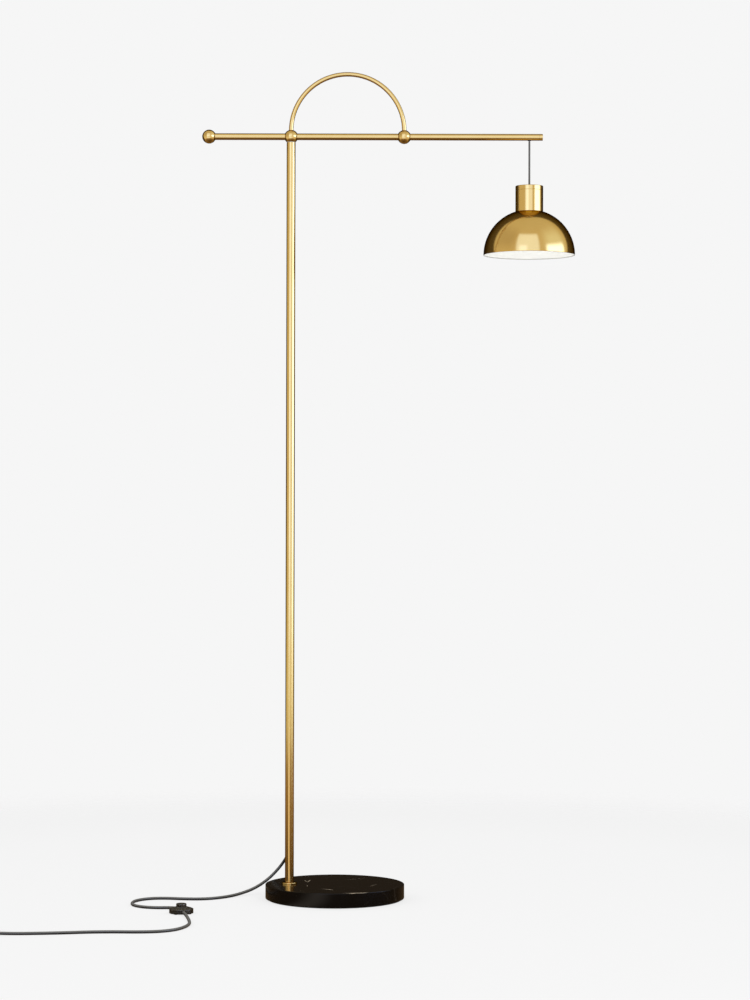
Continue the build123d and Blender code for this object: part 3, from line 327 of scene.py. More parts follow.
# Pale veins, and the painted arris highlight, over the stone's dark body.
stone = blend(tree, veins_and_arris_highlight, body, "B4A692")
haze = ramp(tree, patches, 0.0, 1.0, 0.13, 0.21)
feed(tree, shader, {"Base Color": stone, "Roughness": haze, "Specular IOR Level": 0.22})

STONE_ARRIS = 1.0 * MM
WELL_D = 36 * MM
STUD_HOLE_D = 10.6 * MM
pole_x = middle("pole", X)
well_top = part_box("base_washer")[1].z
outline = tube_outline(0, stone_high.x, stone_low.z, stone_high.z, STONE_ARRIS, STONE_ARRIS)
holes = [
    (WELL_D, (pole_x, 0, stone_low.z - WELL_D), (pole_x, 0, well_top)),
    (STUD_HOLE_D, (pole_x, 0, stone_low.z), (pole_x, 0, stone_high.z + WELL_D)),
]
turned("marble_disc", outline, (0, 0, 0), black_marble, "stand", "black_marble", "base_disc", holes,
       around=192)


# Felt pad: a die-cut disc of pressed wool felt, glued under the stone, dark grey with short stray fibres.
# It keeps the stone off the floor, and its edge is soft.
felt, tree, shader, spot = new_finish("pressed_wool_felt")
fibres = noise(tree, spot, 1.2 * MM, 6.0, Distortion=1.5)
wool = blend(tree, fibres, "161616", "3A3937")
nap = bump(tree, fibres, 0.4 * MM, 0.8)
feed(tree, shader, {"Base Color": wool, "Normal": nap, "Roughness": 0.95, "Sheen Weight": 0.4})

FELT_ROUND = 0.7 * MM
pad_low, pad_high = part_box("base_pad")
outline = tube_outline(0, pad_high.x, pad_low.z, pad_high.z, FELT_ROUND, FELT_ROUND)
turned("felt_pad", outline, (0, 0, 0), felt, "stand", "felt", "base_pad", around=160)


# Steel fixings: the stud with its washers and nut, the insert in the pole's foot and the stop screw.
# They are bright zinc plate on mild steel, a cool grey with fine rolling marks.
def mottled(name, size, detail, dark, light, roughness, others=None):
    """Finish that wavers between two tones over patches of a size. Its roughness is one value, or a range
    that follows the patches. Others are more of its surface's values."""
    material, tree, shader, spot = new_finish(name)
    patches = noise(tree, spot, size, detail)
    tone = blend(tree, patches, dark, light)
    if isinstance(roughness, tuple):
        roughness = ramp(tree, patches, 0.0, 1.0, *roughness)
    feed(tree, shader, {"Base Color": tone, "Roughness": roughness, **(others or {})})
    return material


def wear(material, *names):
    """Gives CAD nodes that keep their shape a finish."""
    for name in names:
        nodes[name].data.materials.clear()
        nodes[name].data.materials.append(material)


zinc_steel = mottled("zinc_plated_steel", 2.5 * MM, 4.0, "8F9294", "C3C5C4", (0.28, 0.48), {"Metallic": 1.0})
wear(zinc_steel, "base_stud", "base_washer", "base_spring_washer", "base_nut", "pole_foot_insert",
     "swivel_stop_screw", "cord_anchor", "holder_terminals", "switch_screws")


# Foot flange: a turned brass collar that hides the hole in the stone, buffed round its rim.
# The pole's end sits in its recess, and the stud goes through it.
def brass(name, marks):
    """Polished brass, buffed and lacquered: yellow, nearly mirror bright, clouded where the lacquer thins.
    Marks are the spacings of the buffing lines along X, Y and Z. Real ones are far finer and don't show."""
    material, tree, shader, spot = new_finish(name)
    cloud = noise(tree, spot, 45 * MM, 3.0)
    lines_at = put(tree, "ShaderNodeMapping", {"Vector": spot, "Scale": [1 / m for m in marks]})
    lines = noise(tree, lines_at, 1.0, 3.0)
    metal = blend(tree, cloud, "E4C27A", "EDCF8C")
    buffed = ramp(tree, lines, 0.0, 1.0, 0.08, 0.17)
    groove = bump(tree, lines, 0.004 * MM, 0.2)
    feed(tree, shader, {"Base Color": metal, "Roughness": buffed, "Normal": groove, "Metallic": 1.0,
                        "Specular Tint": linear("8A6A3A")})
    return material


BRASS = "polished_brass"
FINE, LONG, TUMBLED = 0.9 * MM, 60 * MM, 4 * MM
brass_turned = brass("brass_buffed_round", (LONG, LONG, FINE))
brass_upright = brass("brass_buffed_along_pole", (FINE, FINE, LONG))
brass_level = brass("brass_buffed_along_arm", (LONG, FINE, FINE))
brass_ball = brass("brass_tumbled", (TUMBLED, TUMBLED, TUMBLED))

FLANGE_EDGE = 0.8 * MM
SEAT_GAP = 0.05 * MM
flange_low, flange_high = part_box("foot_flange")
pole_low, pole_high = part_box("pole")
flange_r = (flange_high.x - flange_low.x) / 2
pole_r = (pole_high.x - pole_low.x) / 2
seat_r = pole_r + SEAT_GAP
outline = eased([
    (STUD_HOLE_D / 2, flange_low.z, 0),
    (flange_r, flange_low.z, FLANGE_EDGE / 4),
    (flange_r, flange_high.z, FLANGE_EDGE),
    (seat_r, flange_high.z, FLANGE_EDGE / 4),
    (seat_r, pole_low.z, 0),
    (STUD_HOLE_D / 2, pole_low.z, 0),
])
turned("brass_foot_flange", outline, (pole_x, 0, 0), brass_turned, "stand", BRASS, "foot_flange", ring=True)


# Pole: a drawn brass tube, 16 mm across, buffed along its length. A hole low in its back lets the cord out,
# and a small one near its top holds the screw that stops the arm's turn.
POLE_WALL = 1.2 * MM
TUBE_EDGE = 0.25 * MM
OUTLET_D = 8.7 * MM
STOP_HOLE_D = 4.1 * MM
outlet_z = middle("cord_relief", Z)
stop_z = middle("swivel_stop_screw", Z)
outline = tube_outline(pole_r - POLE_WALL, pole_r, pole_low.z, pole_high.z, TUBE_EDGE, TUBE_EDGE)
holes = (OUTLET_D, outlet_z), (STOP_HOLE_D, stop_z)
holes = [(wide, (pole_x, 0, z), (pole_x, 2 * pole_r, z)) for wide, z in holes]
turned("brass_pole", outline, (pole_x, 0, 0), brass_upright, "stand", BRASS, "pole", holes, ring=True)


# Cord relief: a tapered sleeve of soft black rubber, with shallow rings so that it bends with the cord.
# Its spigot is pushed into the hole in the pole's back.
def grained(material, size, detail, depth, strength):
    """Gives a finish a fine grain that can be felt."""
    tree, shader, spot = workings(material)
    feed(tree, shader, {"Normal": bump(tree, noise(tree, spot, size, detail), depth, strength)})


black_rubber = mottled("moulded_black_rubber", 14 * MM, 2.0, "101011", "232324", 0.55)
grained(black_rubber, 0.8 * MM, 4.0, 0.05 * MM, 0.4)

TO_BACK = Matrix.Rotation(-pi / 2, 4, "X")
RELIEF_ROOT_R, RELIEF_TIP_R = 5.1 * MM, 4.0 * MM
TIP_IN, TIP_DOWN = 0.4 * MM, 0.6 * MM
RELIEF_RINGS = 4
RINGS_SHARE = 0.94
RING_DEPTH = 0.35 * MM
RING_STEPS = (0.0, 0), (0.62, 0), (0.7, RING_DEPTH), (0.92, RING_DEPTH)
relief_low, relief_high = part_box("cord_relief")
rings_length = (relief_high.y - pole_r) * RINGS_SHARE
outline = [(0, relief_low.y), (OUTLET_D / 2, relief_low.y), (OUTLET_D / 2, pole_r - POLE_WALL / 2)]
for ring in range(RELIEF_RINGS):
    for share, sunk in RING_STEPS:
        travel = (ring + share) / RELIEF_RINGS
        radius = RELIEF_ROOT_R + (RELIEF_TIP_R - RELIEF_ROOT_R) * travel
        outline.append((radius - sunk, pole_r - POLE_WALL / 3 + rings_length * travel))
outline += [
    (RELIEF_TIP_R, relief_high.y - TIP_DOWN),
    (RELIEF_TIP_R - TIP_IN, relief_high.y),
    (0, relief_high.y),
]
turned("rubber_cord_relief", outline, (pole_x, 0, outlet_z), black_rubber, "stand", "black_rubber",
       "cord_relief", axis=TO_BACK, around=48)


# Mains cord: round two-core flex in a black PVC sheath, extruded smooth, with a satin skin that takes a long
# soft highlight. It leaves the pole's back, drops to the floor and runs through the foot switch to its plug.
def layered(material, share, colour):
    """Lays a second colour over a finish, by its share at each spot."""
    tree, shader, spot = workings(material)
    under = shader.inputs["Base Color"].links[0].from_socket
    feed(tree, shader, {"Base Color": blend(tree, share, under, colour)})


def dusted_and_toplit(material, top_tone, most):
    """Lays a film of dust over a finish on what faces up, which also paints light from above onto its top."""
    tree, shader, spot = workings(material)
    normal = put(tree, "ShaderNodeNewGeometry").outputs["Normal"]
    layered(material, ramp(tree, axes_of(tree, normal)["Z"], 0.0, 1.0, high=most), top_tone)


def cord_line(name, route, diameter, material):
    """Round cord on one smooth line that has the route's points as its control points."""
    curve = bpy.data.curves.new(name, "CURVE")
    curve.dimensions = "3D"
    curve.bevel_depth = diameter / 2
    curve.bevel_resolution = 6
    curve.resolution_u = 10
    curve.use_fill_caps = True
    line = curve.splines.new("NURBS")
    line.points.add(len(route) - 1)
    for point, place in zip(line.points, route):
        point.co = (*place, 1)
    line.order_u = 3
    line.use_endpoint_u = True
    curve.materials.append(material)
    return placed(name, curve)


def in_metres(*points):
    """Points of a route that is given in mm."""
    return [tuple(measure * MM for measure in point) for point in points]


cord_pvc = mottled("extruded_black_pvc", 25 * MM, 4.0, "1C1C1D", "303031", (0.26, 0.42),
                   {"Specular IOR Level": 0.6})
grained(cord_pvc, 3 * MM, 3.0, 0.03 * MM, 0.5)
# Lighter on what faces up: real dust, and painted light from above on the cord's top.
dusted_and_toplit(cord_pvc, "92918E", 0.7)

MAINS_D = 5.5 * MM
LIE = MAINS_D / 2 / MM
CORD_APPROACH = 20 * MM
CORD_IN = 15.7 * MM
SWITCH_TURN = radians(-75)
switch_middle = Vector((-263.5 * MM, -180 * MM, 4.2 * MM))
switch_way = Vector((cos(SWITCH_TURN), sin(SWITCH_TURN), 0))
to_switch = [
    *in_metres(
        (-82, 28, 80), (-82, 45, 80), (-85, 66, 75), (-92, 81, 60), (-106, 83, 41), (-125, 74, 23),
        (-149, 56, 9.4), (-176, 28, 3.3), (-200, -4, LIE), (-232, -26, LIE), (-271, -25, LIE),
        (-302, -16, LIE), (-333.5, -20, LIE), (-357.5, -50, LIE), (-358.5, -97, LIE), (-337.5, -124, LIE),
        (-311.5, -133, LIE), (-289, -134, LIE + 0.5),
    ),
    switch_middle - switch_way * (CORD_IN + CORD_APPROACH),
    switch_middle - switch_way * CORD_IN,
]
cord_to_switch = cord_line("mains_cord_pole_to_switch", to_switch, MAINS_D, cord_pvc)
stands_for(cord_to_switch, "stand", "cord_pvc", "mains_cord_to_switch")

# The spare length lies wound in a flat coil: in on one layer, up in a half turn, and out on the next.
COIL_LIE = 3.75
COIL_AT = Vector((-594 * MM, -425 * MM, COIL_LIE * MM))
COIL_R = 36 * MM
COIL_PITCH = 6.1 * MM
COIL_HALVES = 4
HALF_POINTS = 8
PLUG_LEAD_END = 14 * MM
from_switch = [
    switch_middle + switch_way * CORD_IN,
    switch_middle + switch_way * (CORD_IN + CORD_APPROACH),
    *in_metres(
        (-248, -245, LIE + 0.3), (-242.5, -282, LIE), (-239.5, -316, LIE), (-244.5, -348, LIE),
        (-258, -379, LIE), (-283, -398.5, LIE), (-318, -404, LIE), (-358, -402, LIE), (-400, -405, LIE),
        (-438, -414, LIE), (-478, -420, LIE), (-520, -424, LIE), (-557, -425, COIL_LIE),
        (-588.5, -425, COIL_LIE),
    ),
]
step = pi / HALF_POINTS
start_y, level = COIL_AT.y, COIL_AT.z
side = 1
for half in range(2 * COIL_HALVES + 1):
    radius = COIL_R - COIL_PITCH / 2 * (COIL_HALVES - abs(half - COIL_HALVES))
    reach = radius / cos(step / 2)
    middle_y = start_y + side * radius
    last_half = half == 2 * COIL_HALVES
    for point in range(HALF_POINTS // 2 if last_half else HALF_POINTS):
        turn = (point + 0.5) * step
        climb = 0.5 - 0.5 * cos(turn) if half == COIL_HALVES else 0
        x, y = COIL_AT.x - side * reach * sin(turn), middle_y - side * reach * cos(turn)
        from_switch.append((x, y, level + COIL_PITCH * climb))
    if half == COIL_HALVES:
        level += COIL_PITCH
    start_y += 2 * side * radius
    side = -side
coil_left = COIL_AT.x - COIL_R
coil_end_y = COIL_AT.y + COIL_R + MAINS_D
plug_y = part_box("plug_body")[0].y
plug_z = middle("plug_body", Z)
from_switch += [
    (coil_left, coil_end_y, level),
    (coil_left, coil_end_y + PLUG_LEAD_END, level),
    (coil_left, plug_y - PLUG_LEAD_END, plug_z),
    (coil_left, plug_y, plug_z),
]
cord_from_switch = cord_line("mains_cord_switch_to_plug", from_switch, MAINS_D, cord_pvc)
stands_for(cord_from_switch, "stand", "cord_pvc", "mains_cord_to_coil", "mains_cord_coil",
           "mains_cord_to_plug")
wear(cord_pvc, "mains_tail", "pole_lead", "arm_lead")


# Leads and bushes inside the tubes: a crimped nylon splice, the swivel's nylon bush and washer, and the
# switch's natural nylon clamps and contact block. Injection moulded, milky grey, with a soft sheen.
grey_nylon = mottled("moulded_natural_nylon", 6 * MM, 3.0, "B9B6AE", "D2CFC6", 0.45)
wear(grey_nylon, "lead_splice", "pole_top_bush", "swivel_washer", "switch_cord_clamps", "switch_module")


# Swivel stem and cross arm: a hollow stem turns in the pole's top and carries the arm, a thin brass tube
# buffed along its length, closed at the right by a turned cap with a fine joint line.
wear(brass_turned, "swivel_stem")
ALONG_ARM = Matrix.Rotation(pi / 2, 4, "Y")
ARM_SIDES = 64
ARM_WALL = 1.0 * MM
JOINT_EDGE = 0.35 * MM
CAP_EDGE = 0.6 * MM
arm_low, arm_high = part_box("arm_tube")
arm_r = (arm_high.z - arm_low.z) / 2
arm_z = middle("arm_tube", Z)
outline = tube_outline(arm_r - ARM_WALL, arm_r, arm_low.x, arm_high.x, TUBE_EDGE, JOINT_EDGE)
on_arm = {"axis": ALONG_ARM, "around": ARM_SIDES}
turned("brass_arm_tube", outline, (0, 0, arm_z), brass_level, "arm", BRASS, "arm_tube", ring=True, **on_arm)

cap_low, cap_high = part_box("arm_end_cap")
plug_r = arm_r - ARM_WALL - SEAT_GAP
outline = eased([
    (0, cap_low.x, 0),
    (plug_r, cap_low.x, JOINT_EDGE),
    (plug_r, arm_high.x, 0),
    (arm_r, arm_high.x, JOINT_EDGE),
    (arm_r, cap_high.x, CAP_EDGE),
    (0, cap_high.x, 0),
])
turned("brass_arm_end_cap", outline, (0, 0, arm_z), brass_turned, "arm", BRASS, "arm_end_cap", **on_arm)


# Balls: three solid brass balls, tumbled bright and drilled through for the arm. Each has a threaded hole in
# its back for the grub screw that grips the arm. The pole's ball has a flat that turns on the nylon washer.
def ball_outline(radius, steps, low, high):
    """Outline of a ball about its middle, with flats where a lowest and a highest height cut it."""
    rises = [-radius * cos(pi * step / steps) for step in range(1, steps)]
    rises = [low, *[rise for rise in rises if low < rise < high], high]
    rim = [(sqrt(radius ** 2 - rise ** 2), rise) for rise in rises if abs(rise) < radius]
    return [(0, low), *rim, (0, high)]


BALL_R = 12.5 * MM
SCREW_HOLE_D = 4.1 * MM
BALLS = ("pole_ball", "brass_pole_ball"), ("arm_ball", "brass_arch_ball"), ("arm_finial", "brass_finial")
ball_places = []
for node, name in BALLS:
    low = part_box(node)[0]
    x = low.x + BALL_R if node == "arm_finial" else middle(node, X)
    flat = arm_z - low.z if node == "pole_ball" else BALL_R
    outline = ball_outline(BALL_R, 48, -flat, BALL_R)
    hole = SCREW_HOLE_D, (x, arm_r, arm_z), (x, 2 * BALL_R, arm_z)
    turned(name, outline, (x, 0, arm_z), brass_ball, "arm", BRASS, node, [hole], around=80)
    ball_places.append(x)


# Grub screws: three headless steel screws with hexagon sockets, blackened, one in the back of each ball.
# A tree makes one screw and sets it at each ball.
def new_rule(name, **sizes):
    """Geometry Nodes tree with named inputs for its sizes."""
    tree = bpy.data.node_groups.new(name, "GeometryNodeTree")
    for size, kind in sizes.items():
        tree.interface.new_socket(size, in_out="INPUT", socket_type=kind)
    tree.interface.new_socket("Piece", in_out="OUTPUT", socket_type="NodeSocketGeometry")
    return tree, put(tree, "NodeGroupInput").outputs


def grown(name, tree, geometry, material, **sizes):
    """Plain mesh that a tree gives for these sizes, in its material."""
    real = put(tree, "GeometryNodeRealizeInstances", {"Geometry": geometry})
    coated = put(tree, "GeometryNodeSetMaterial", {"Geometry": real, "Material": material})
    put(tree, "NodeGroupOutput", {"Piece": coated})
    piece = placed(name, bpy.data.meshes.new(name))
    rule = piece.modifiers.new(name, "NODES")
    rule.node_group = tree
    for socket in tree.interface.items_tree:
        if socket.in_out == "INPUT":
            rule[socket.identifier] = sizes[socket.name]
    return settled(piece)


dark_steel = mottled("blackened_steel", 1.5 * MM, 4.0, "1D1B1A", "3B3836", 0.42, {"Metallic": 0.9})

FLOAT, VECTOR = "NodeSocketFloat", "NodeSocketVector"
GRUB_R = 2.0 * MM
KEY_R, KEY_DEPTH = 1.15 * MM, 3.0 * MM
screws_low, screws_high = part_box("ball_set_screws")
tree, size = new_rule("grub_screws", Radius=FLOAT, Length=FLOAT, Key=FLOAT, Socket=FLOAT)
shank = put(tree, "GeometryNodeMeshCylinder", {
    "Vertices": 32, "Radius": size["Radius"], "Depth": size["Length"]})
half = calc(tree, "MULTIPLY", size["Length"], 0.5)
lift = put(tree, "ShaderNodeCombineXYZ", {"Z": half})
key = put(tree, "GeometryNodeMeshCylinder", {"Vertices": 6, "Radius": size["Key"], "Depth": size["Socket"]})
raised = put(tree, "GeometryNodeTransform", {"Geometry": key, "Translation": lift})
screw = put(tree, "GeometryNodeMeshBoolean", {"Mesh 1": shank, "Mesh 2": raised}, solver="EXACT")
to_back = put(tree, "GeometryNodeTransform", {"Geometry": screw, "Rotation": TO_BACK.to_euler()})
joined = put(tree, "GeometryNodeJoinGeometry")
for x in ball_places:
    place = (x, middle("ball_set_screws", Y), arm_z)
    set_in = put(tree, "GeometryNodeTransform", {"Geometry": to_back, "Translation": place})
    feed(tree, joined, {"Geometry": set_in})
grub_screws = grown("grub_screws", tree, joined, dark_steel, Radius=GRUB_R, Key=KEY_R, Socket=KEY_DEPTH,
                    Length=screws_high.y - screws_low.y)
stands_for(grub_screws, "arm", "dark_steel", "ball_set_screws")


# Arch: one 8 mm brass rod, bent to a half circle on short straight legs that stand in the two balls.
# A tree bends it: along the rod, the legs rise straight and the rest turns about the arch's middle.
ARCH_D = 8 * MM
ARCH_STATIONS = 193
ARCH_SIDES = 40
arch_low, arch_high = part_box("arch_rod")
arch_foot = (middle("arch_rod", X), 0, arch_low.z)
arch_r = (arch_high.x - arch_low.x) / 2 - ARCH_D / 2
arch_leg = arch_high.z - ARCH_D / 2 - arch_r - arch_low.z
tree, size = new_rule("bent_arch", Radius=FLOAT, Leg=FLOAT, Rod=FLOAT, Middle=VECTOR)
bend = calc(tree, "MULTIPLY", size["Radius"], pi)
length = calc(tree, "MULTIPLY_ADD", size["Leg"], 2.0, bend)
straight = put(tree, "GeometryNodeCurvePrimitiveLine", {"End": (0, 0, 1)})
stations = put(tree, "GeometryNodeResampleCurve", {"Curve": straight, "Count": ARCH_STATIONS})
share = put(tree, "GeometryNodeSplineParameter").outputs["Factor"]
travel = calc(tree, "MULTIPLY", share, length)
back = calc(tree, "SUBTRACT", length, travel)
nearer = calc(tree, "MINIMUM", travel, back)
risen = calc(tree, "MINIMUM", nearer, size["Leg"])
past_leg = calc(tree, "SUBTRACT", travel, size["Leg"])
angle = calc(tree, "DIVIDE", past_leg, size["Radius"])
turn = put(tree, "ShaderNodeClamp", {"Value": angle, "Min": 0.0, "Max": pi})
out = calc(tree, "COSINE", turn)
up = calc(tree, "SINE", turn)
minus = calc(tree, "MULTIPLY", size["Radius"], -1.0)
x = calc(tree, "MULTIPLY", out, minus)
z = calc(tree, "MULTIPLY_ADD", up, size["Radius"], risen)
place = put(tree, "ShaderNodeCombineXYZ", {"X": x, "Z": z})
moved = put(tree, "ShaderNodeVectorMath", [place, size["Middle"]], "ADD")
bent = put(tree, "GeometryNodeSetPosition", {"Geometry": stations, "Position": moved})
section = put(tree, "GeometryNodeCurvePrimitiveCircle", {"Resolution": ARCH_SIDES, "Radius": size["Rod"]})
rod = put(tree, "GeometryNodeCurveToMesh", {"Curve": bent, "Profile Curve": section, "Fill Caps": True})
arch = grown("brass_arch", tree, rod, brass_ball, Radius=arch_r, Leg=arch_leg, Rod=ARCH_D / 2,
             Middle=arch_foot)
stands_for(arch, "arm", BRASS, "arch_rod")


# Cord bush and grip: small black nylon mouldings where the thin cord leaves the arm and enters the holder.
# The bush is pushed into the arm and the grip is squeezed onto the cord. Both are dull, with a fine grit.
black_nylon = mottled("moulded_black_nylon", 0.7 * MM, 3.0, "101010", "1F1F20", 0.4)
wear(black_nylon, "cord_outlet_bush", "cord_grip")


# Pendant cord: a thin round cord in a braided black textile sleeve, on which the shade hangs. It swings
# from the bush. The braid is two sets of spiral strands that cross. Real strands are finer and don't show.
STRANDS = 6.0
STRAND_RISE = 2.4 * MM
pendant_x = middle("pendant_cord", X)
braid, tree, shader, spot = new_finish("braided_black_textile")
centred = put(tree, "ShaderNodeMapping", {"Vector": spot, "Location": (-pendant_x, 0, 0)})
axes = axes_of(tree, centred)
round_it = calc(tree, "ARCTAN2", axes["Y"], axes["X"])
waves = []
for hand in (1, -1):
    wind = calc(tree, "MULTIPLY", round_it, hand * STRANDS)
    phase = calc(tree, "MULTIPLY_ADD", axes["Z"], 2 * pi / STRAND_RISE, wind)
    waves.append(calc(tree, "SINE", phase))
strands = calc(tree, "MAXIMUM", waves[0], waves[1])
worn = ramp(tree, strands, -0.5, 1.0)
yarn = blend(tree, worn, "3A3A3A", "6C6B69")
raised = bump(tree, strands, 0.15 * MM, 0.6)
feed(tree, shader, {"Base Color": yarn, "Normal": raised, "Roughness": 0.8, "Sheen Weight": 0.3})

LEAD_D = 3.5 * MM
HANG_MIDDLE = 1320 * MM
bend_z = middle("pendant_cord_bend", Z)
hang_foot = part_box("pendant_cord")[0].z
hang = [(pendant_x, 0, z) for z in (bend_z, HANG_MIDDLE, hang_foot)]
pendant_cord = cord_line("pendant_cord_line", hang, LEAD_D, braid)
stands_for(pendant_cord, "pendant", "pendant_cord", "pendant_cord")

KNUCKLE_R = 0.49 * LEAD_D
outline = ball_outline(KNUCKLE_R, 16, -KNUCKLE_R, KNUCKLE_R)
cord_knuckle = turned("pendant_cord_knuckle", outline, (pendant_x, 0, bend_z), braid, "cord_bend",
                      "pendant_cord", "pendant_cord_bend", around=32)


# Holder cup and its lid: spun brass, turned to one diameter so that only a hair line shows where they meet.
# A brass nipple through the lid clamps them to the lampholder and lets the cord in.
CUP_EDGE = 1.0 * MM
CUP_WALL = 1.2 * MM
CUP_SIDES = 128
LID_T = 2.0 * MM
NIPPLE_HOLE_R = 5.05 * MM
pendant_spot = (pendant_x, 0, 0)
cup_low, cup_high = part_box("holder_cup")
lid_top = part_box("cup_lid")[1].z
cup_r = (cup_high.x - cup_low.x) / 2
outline = eased([
    (cup_r - CUP_WALL, cup_high.z, 0),
    (cup_r, cup_high.z, JOINT_EDGE),
    (cup_r, lid_top, CUP_EDGE),
    (NIPPLE_HOLE_R, lid_top, TUBE_EDGE),
    (NIPPLE_HOLE_R, lid_top - LID_T, 0),
    (cup_r - CUP_WALL, lid_top - LID_T, 0),
])
turned("brass_cup_lid", outline, pendant_spot, brass_turned, "pendant", BRASS, "cup_lid",
       around=CUP_SIDES, ring=True)

outline = tube_outline(cup_r - CUP_WALL, cup_r, cup_low.z, cup_high.z, TUBE_EDGE, JOINT_EDGE)
turned("brass_holder_cup", outline, pendant_spot, brass_turned, "pendant", BRASS, "holder_cup",
       around=CUP_SIDES, ring=True)
wear(brass_turned, "nipple", "nipple_nut", "holder_contact")


# Lampholder: a white moulded shell with a glazed porcelain core, a nickelled screw shell and a threaded ring
# below the shade. Only its skirt and ring show, from below.
white_plastic = mottled("moulded_white_polyester", 5 * MM, 4.0, "DEDCD5", "EFEDE7", 0.35)
porcelain = mottled("glazed_porcelain", 8 * MM, 3.0, "E2DCCD", "F1ECE0", 0.15)
nickel = mottled("nickel_plate", 6 * MM, 3.0, "BDB7AC", "D8D3C9", 0.2, {"Metallic": 1.0})
wear(white_plastic, "holder_shell", "shade_ring", "bulb_collar")
wear(porcelain, "holder_core")
wear(nickel, "holder_screw_shell", "bulb_cap", "plug_pins")


# Shade: a half dome spun from thin brass sheet, with a flat top that the holder clamps and a rolled rim.
# Outside it is polished. Inside it is sprayed with white enamel that throws the light down.
shade_low, shade_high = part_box("shade")
rim_z = shade_low.z
ENAMEL_EDGE, ENAMEL_FULL = 1.2 * MM, 1.56 * MM
PEEL = 2 * MM
enamel = mottled("sprayed_white_enamel", PEEL, 2.0, "F6F6F4", "FCFCFA", 0.4)
grained(enamel, PEEL, 2.0, 0.02 * MM, 0.4)
tree, shader, spot = workings(enamel)
thin = ramp(tree, axes_of(tree, spot)["Z"], rim_z + ENAMEL_FULL, rim_z + ENAMEL_EDGE)
layered(enamel, thin, "BDBCB7")

SHADE_T = 0.8 * MM
HOLDER_HOLE_R = 19.8 * MM
DOME_STEPS = 72
RIM_STEPS = 6
shade_r = (shade_high.x - shade_low.x) / 2
inner_r = shade_r - SHADE_T
inner_top = shade_high.z - SHADE_T


def dome_arc(radius, top):
    """Points down a dome from the height of its flat to its rim."""
    first = asin((top - rim_z) / radius)
    turns = [first * (1 - step / DOME_STEPS) for step in range(DOME_STEPS + 1)]
    return [Vector((radius * cos(turn), rim_z + radius * sin(turn))) for turn in turns]


outside = [Vector((HOLDER_HOLE_R, shade_high.z))] + dome_arc(shade_r, shade_high.z)
inside = dome_arc(inner_r, inner_top)[::-1] + [Vector((HOLDER_HOLE_R, inner_top))]
roll = SHADE_T / 2
outside[-1].y += roll
inside[0].y += roll
rim_turns = [pi * step / RIM_STEPS for step in range(1, RIM_STEPS)]
lip = [(shade_r - roll + roll * cos(turn), rim_z - roll * sin(turn) + roll) for turn in rim_turns]
shade_shape = turned_shape(outside + lip + inside, pendant_spot, around=224, ring=True)
for face in shade_shape.faces:
    centre = face.calc_center_median()
    from_axis = Vector((centre.x - pendant_x, centre.y)).length
    in_dome = Vector((from_axis, centre.z - rim_z)).length < inner_r + SHADE_T / 4
    face.material_index = int(in_dome and centre.z < inner_top + SHADE_T / 2)
shade = shown("brass_shade", shade_shape, brass_turned, enamel)
stands_for(shade, "pendant", BRASS, "shade")


# Bulb: a small opal glass globe on a white collar, screwed into the holder.
# It is lit low, so that the enamel reads white.
opal = mottled("opal_glass", 12 * MM, 2.0, "F3F0E8", "FAF8F2", 0.3, {"Emission Strength": 2.9})
tree, shader, spot = workings(opal)
feed(tree, shader, {"Emission Color": shader.inputs["Base Color"].links[0].from_socket})

globe_low, globe_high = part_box("bulb_globe")
globe_r = (globe_high.x - globe_low.x) / 2
globe_z = globe_low.z + globe_r
outline = ball_outline(globe_r, 40, -globe_r, globe_high.z - globe_z)
turned("opal_bulb_globe", outline, (pendant_x, 0, globe_z), opal, "pendant", "opal_diffuser", "bulb_globe",
       around=80)


# Foot switch: a flat base and a domed cover of glossy black ABS, screwed together from below, with a push
# button on a spring. The cord goes in and out through their joint.
# Pale tone of dust and scuffs, which also paints glints and light from above.
DUST_AND_SHEEN = "8C8778"
black_plastic = mottled("glossy_black_abs", 10 * MM, 4.0, "12110F", "22201D", (0.12, 0.24),
                        {"Specular IOR Level": 0.8})
tree, shader, spot = workings(black_plastic)
# Pale speckles: scuffs, partly standing in for painted glints.
grit = noise(tree, spot, 2.5 * MM, 2.0)
scuffs_and_glints = ramp(tree, grit, 0.58, 0.68, high=0.5)
layered(black_plastic, scuffs_and_glints, DUST_AND_SHEEN)
# Lighter on what faces up: dust, and painted light from above on the switch's top.
dusted_and_toplit(black_plastic, DUST_AND_SHEEN, 0.14)

SHELL_WALL = 2.0 * MM
SHELL_RIM_Z = 8.4 * MM
SHELL_EDGE = 1.0 * MM
SHELL_TOP_T = 1.8 * MM
SHELL_FLOOR_T = 1.6 * MM
LINE_EDGE = 0.4 * MM
CORD_GAP = 0.1 * MM
DOME_BULGE = 0.37 * MM
DOME_PARTS = 8
BUTTON_HOLE_R = 9.05 * MM
switch_spot = (switch_middle.x, switch_middle.y, 0)
shell_low, shell_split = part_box("switch_lower_shell")
shell_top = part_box("switch_upper_shell")[1].z
shell_r = (shell_split.x - shell_low.x) / 2
inner_shell_r = shell_r - SHELL_WALL
cord_holes = [(MAINS_D + CORD_GAP, switch_middle + switch_way * (inner_shell_r - SHELL_WALL) * end,
               switch_middle + switch_way * 2 * shell_r * end) for end in (-1, 1)]
outline = eased([
    (0, shell_low.z, 0),
    (shell_r, shell_low.z, 2 * LINE_EDGE),
    (shell_r, shell_split.z, LINE_EDGE),
    (inner_shell_r, shell_split.z, 0),
    (inner_shell_r, shell_low.z + SHELL_FLOOR_T, 0),
    (0, shell_low.z + SHELL_FLOOR_T, 0),
])
switch_base = turned("switch_lower_half", outline, switch_spot, black_plastic, "stand", "black_plastic",
                     "switch_lower_shell", cord_holes)
dome_rim, dome_top = Vector((shell_r, SHELL_RIM_Z)), Vector((BUTTON_HOLE_R, shell_top))
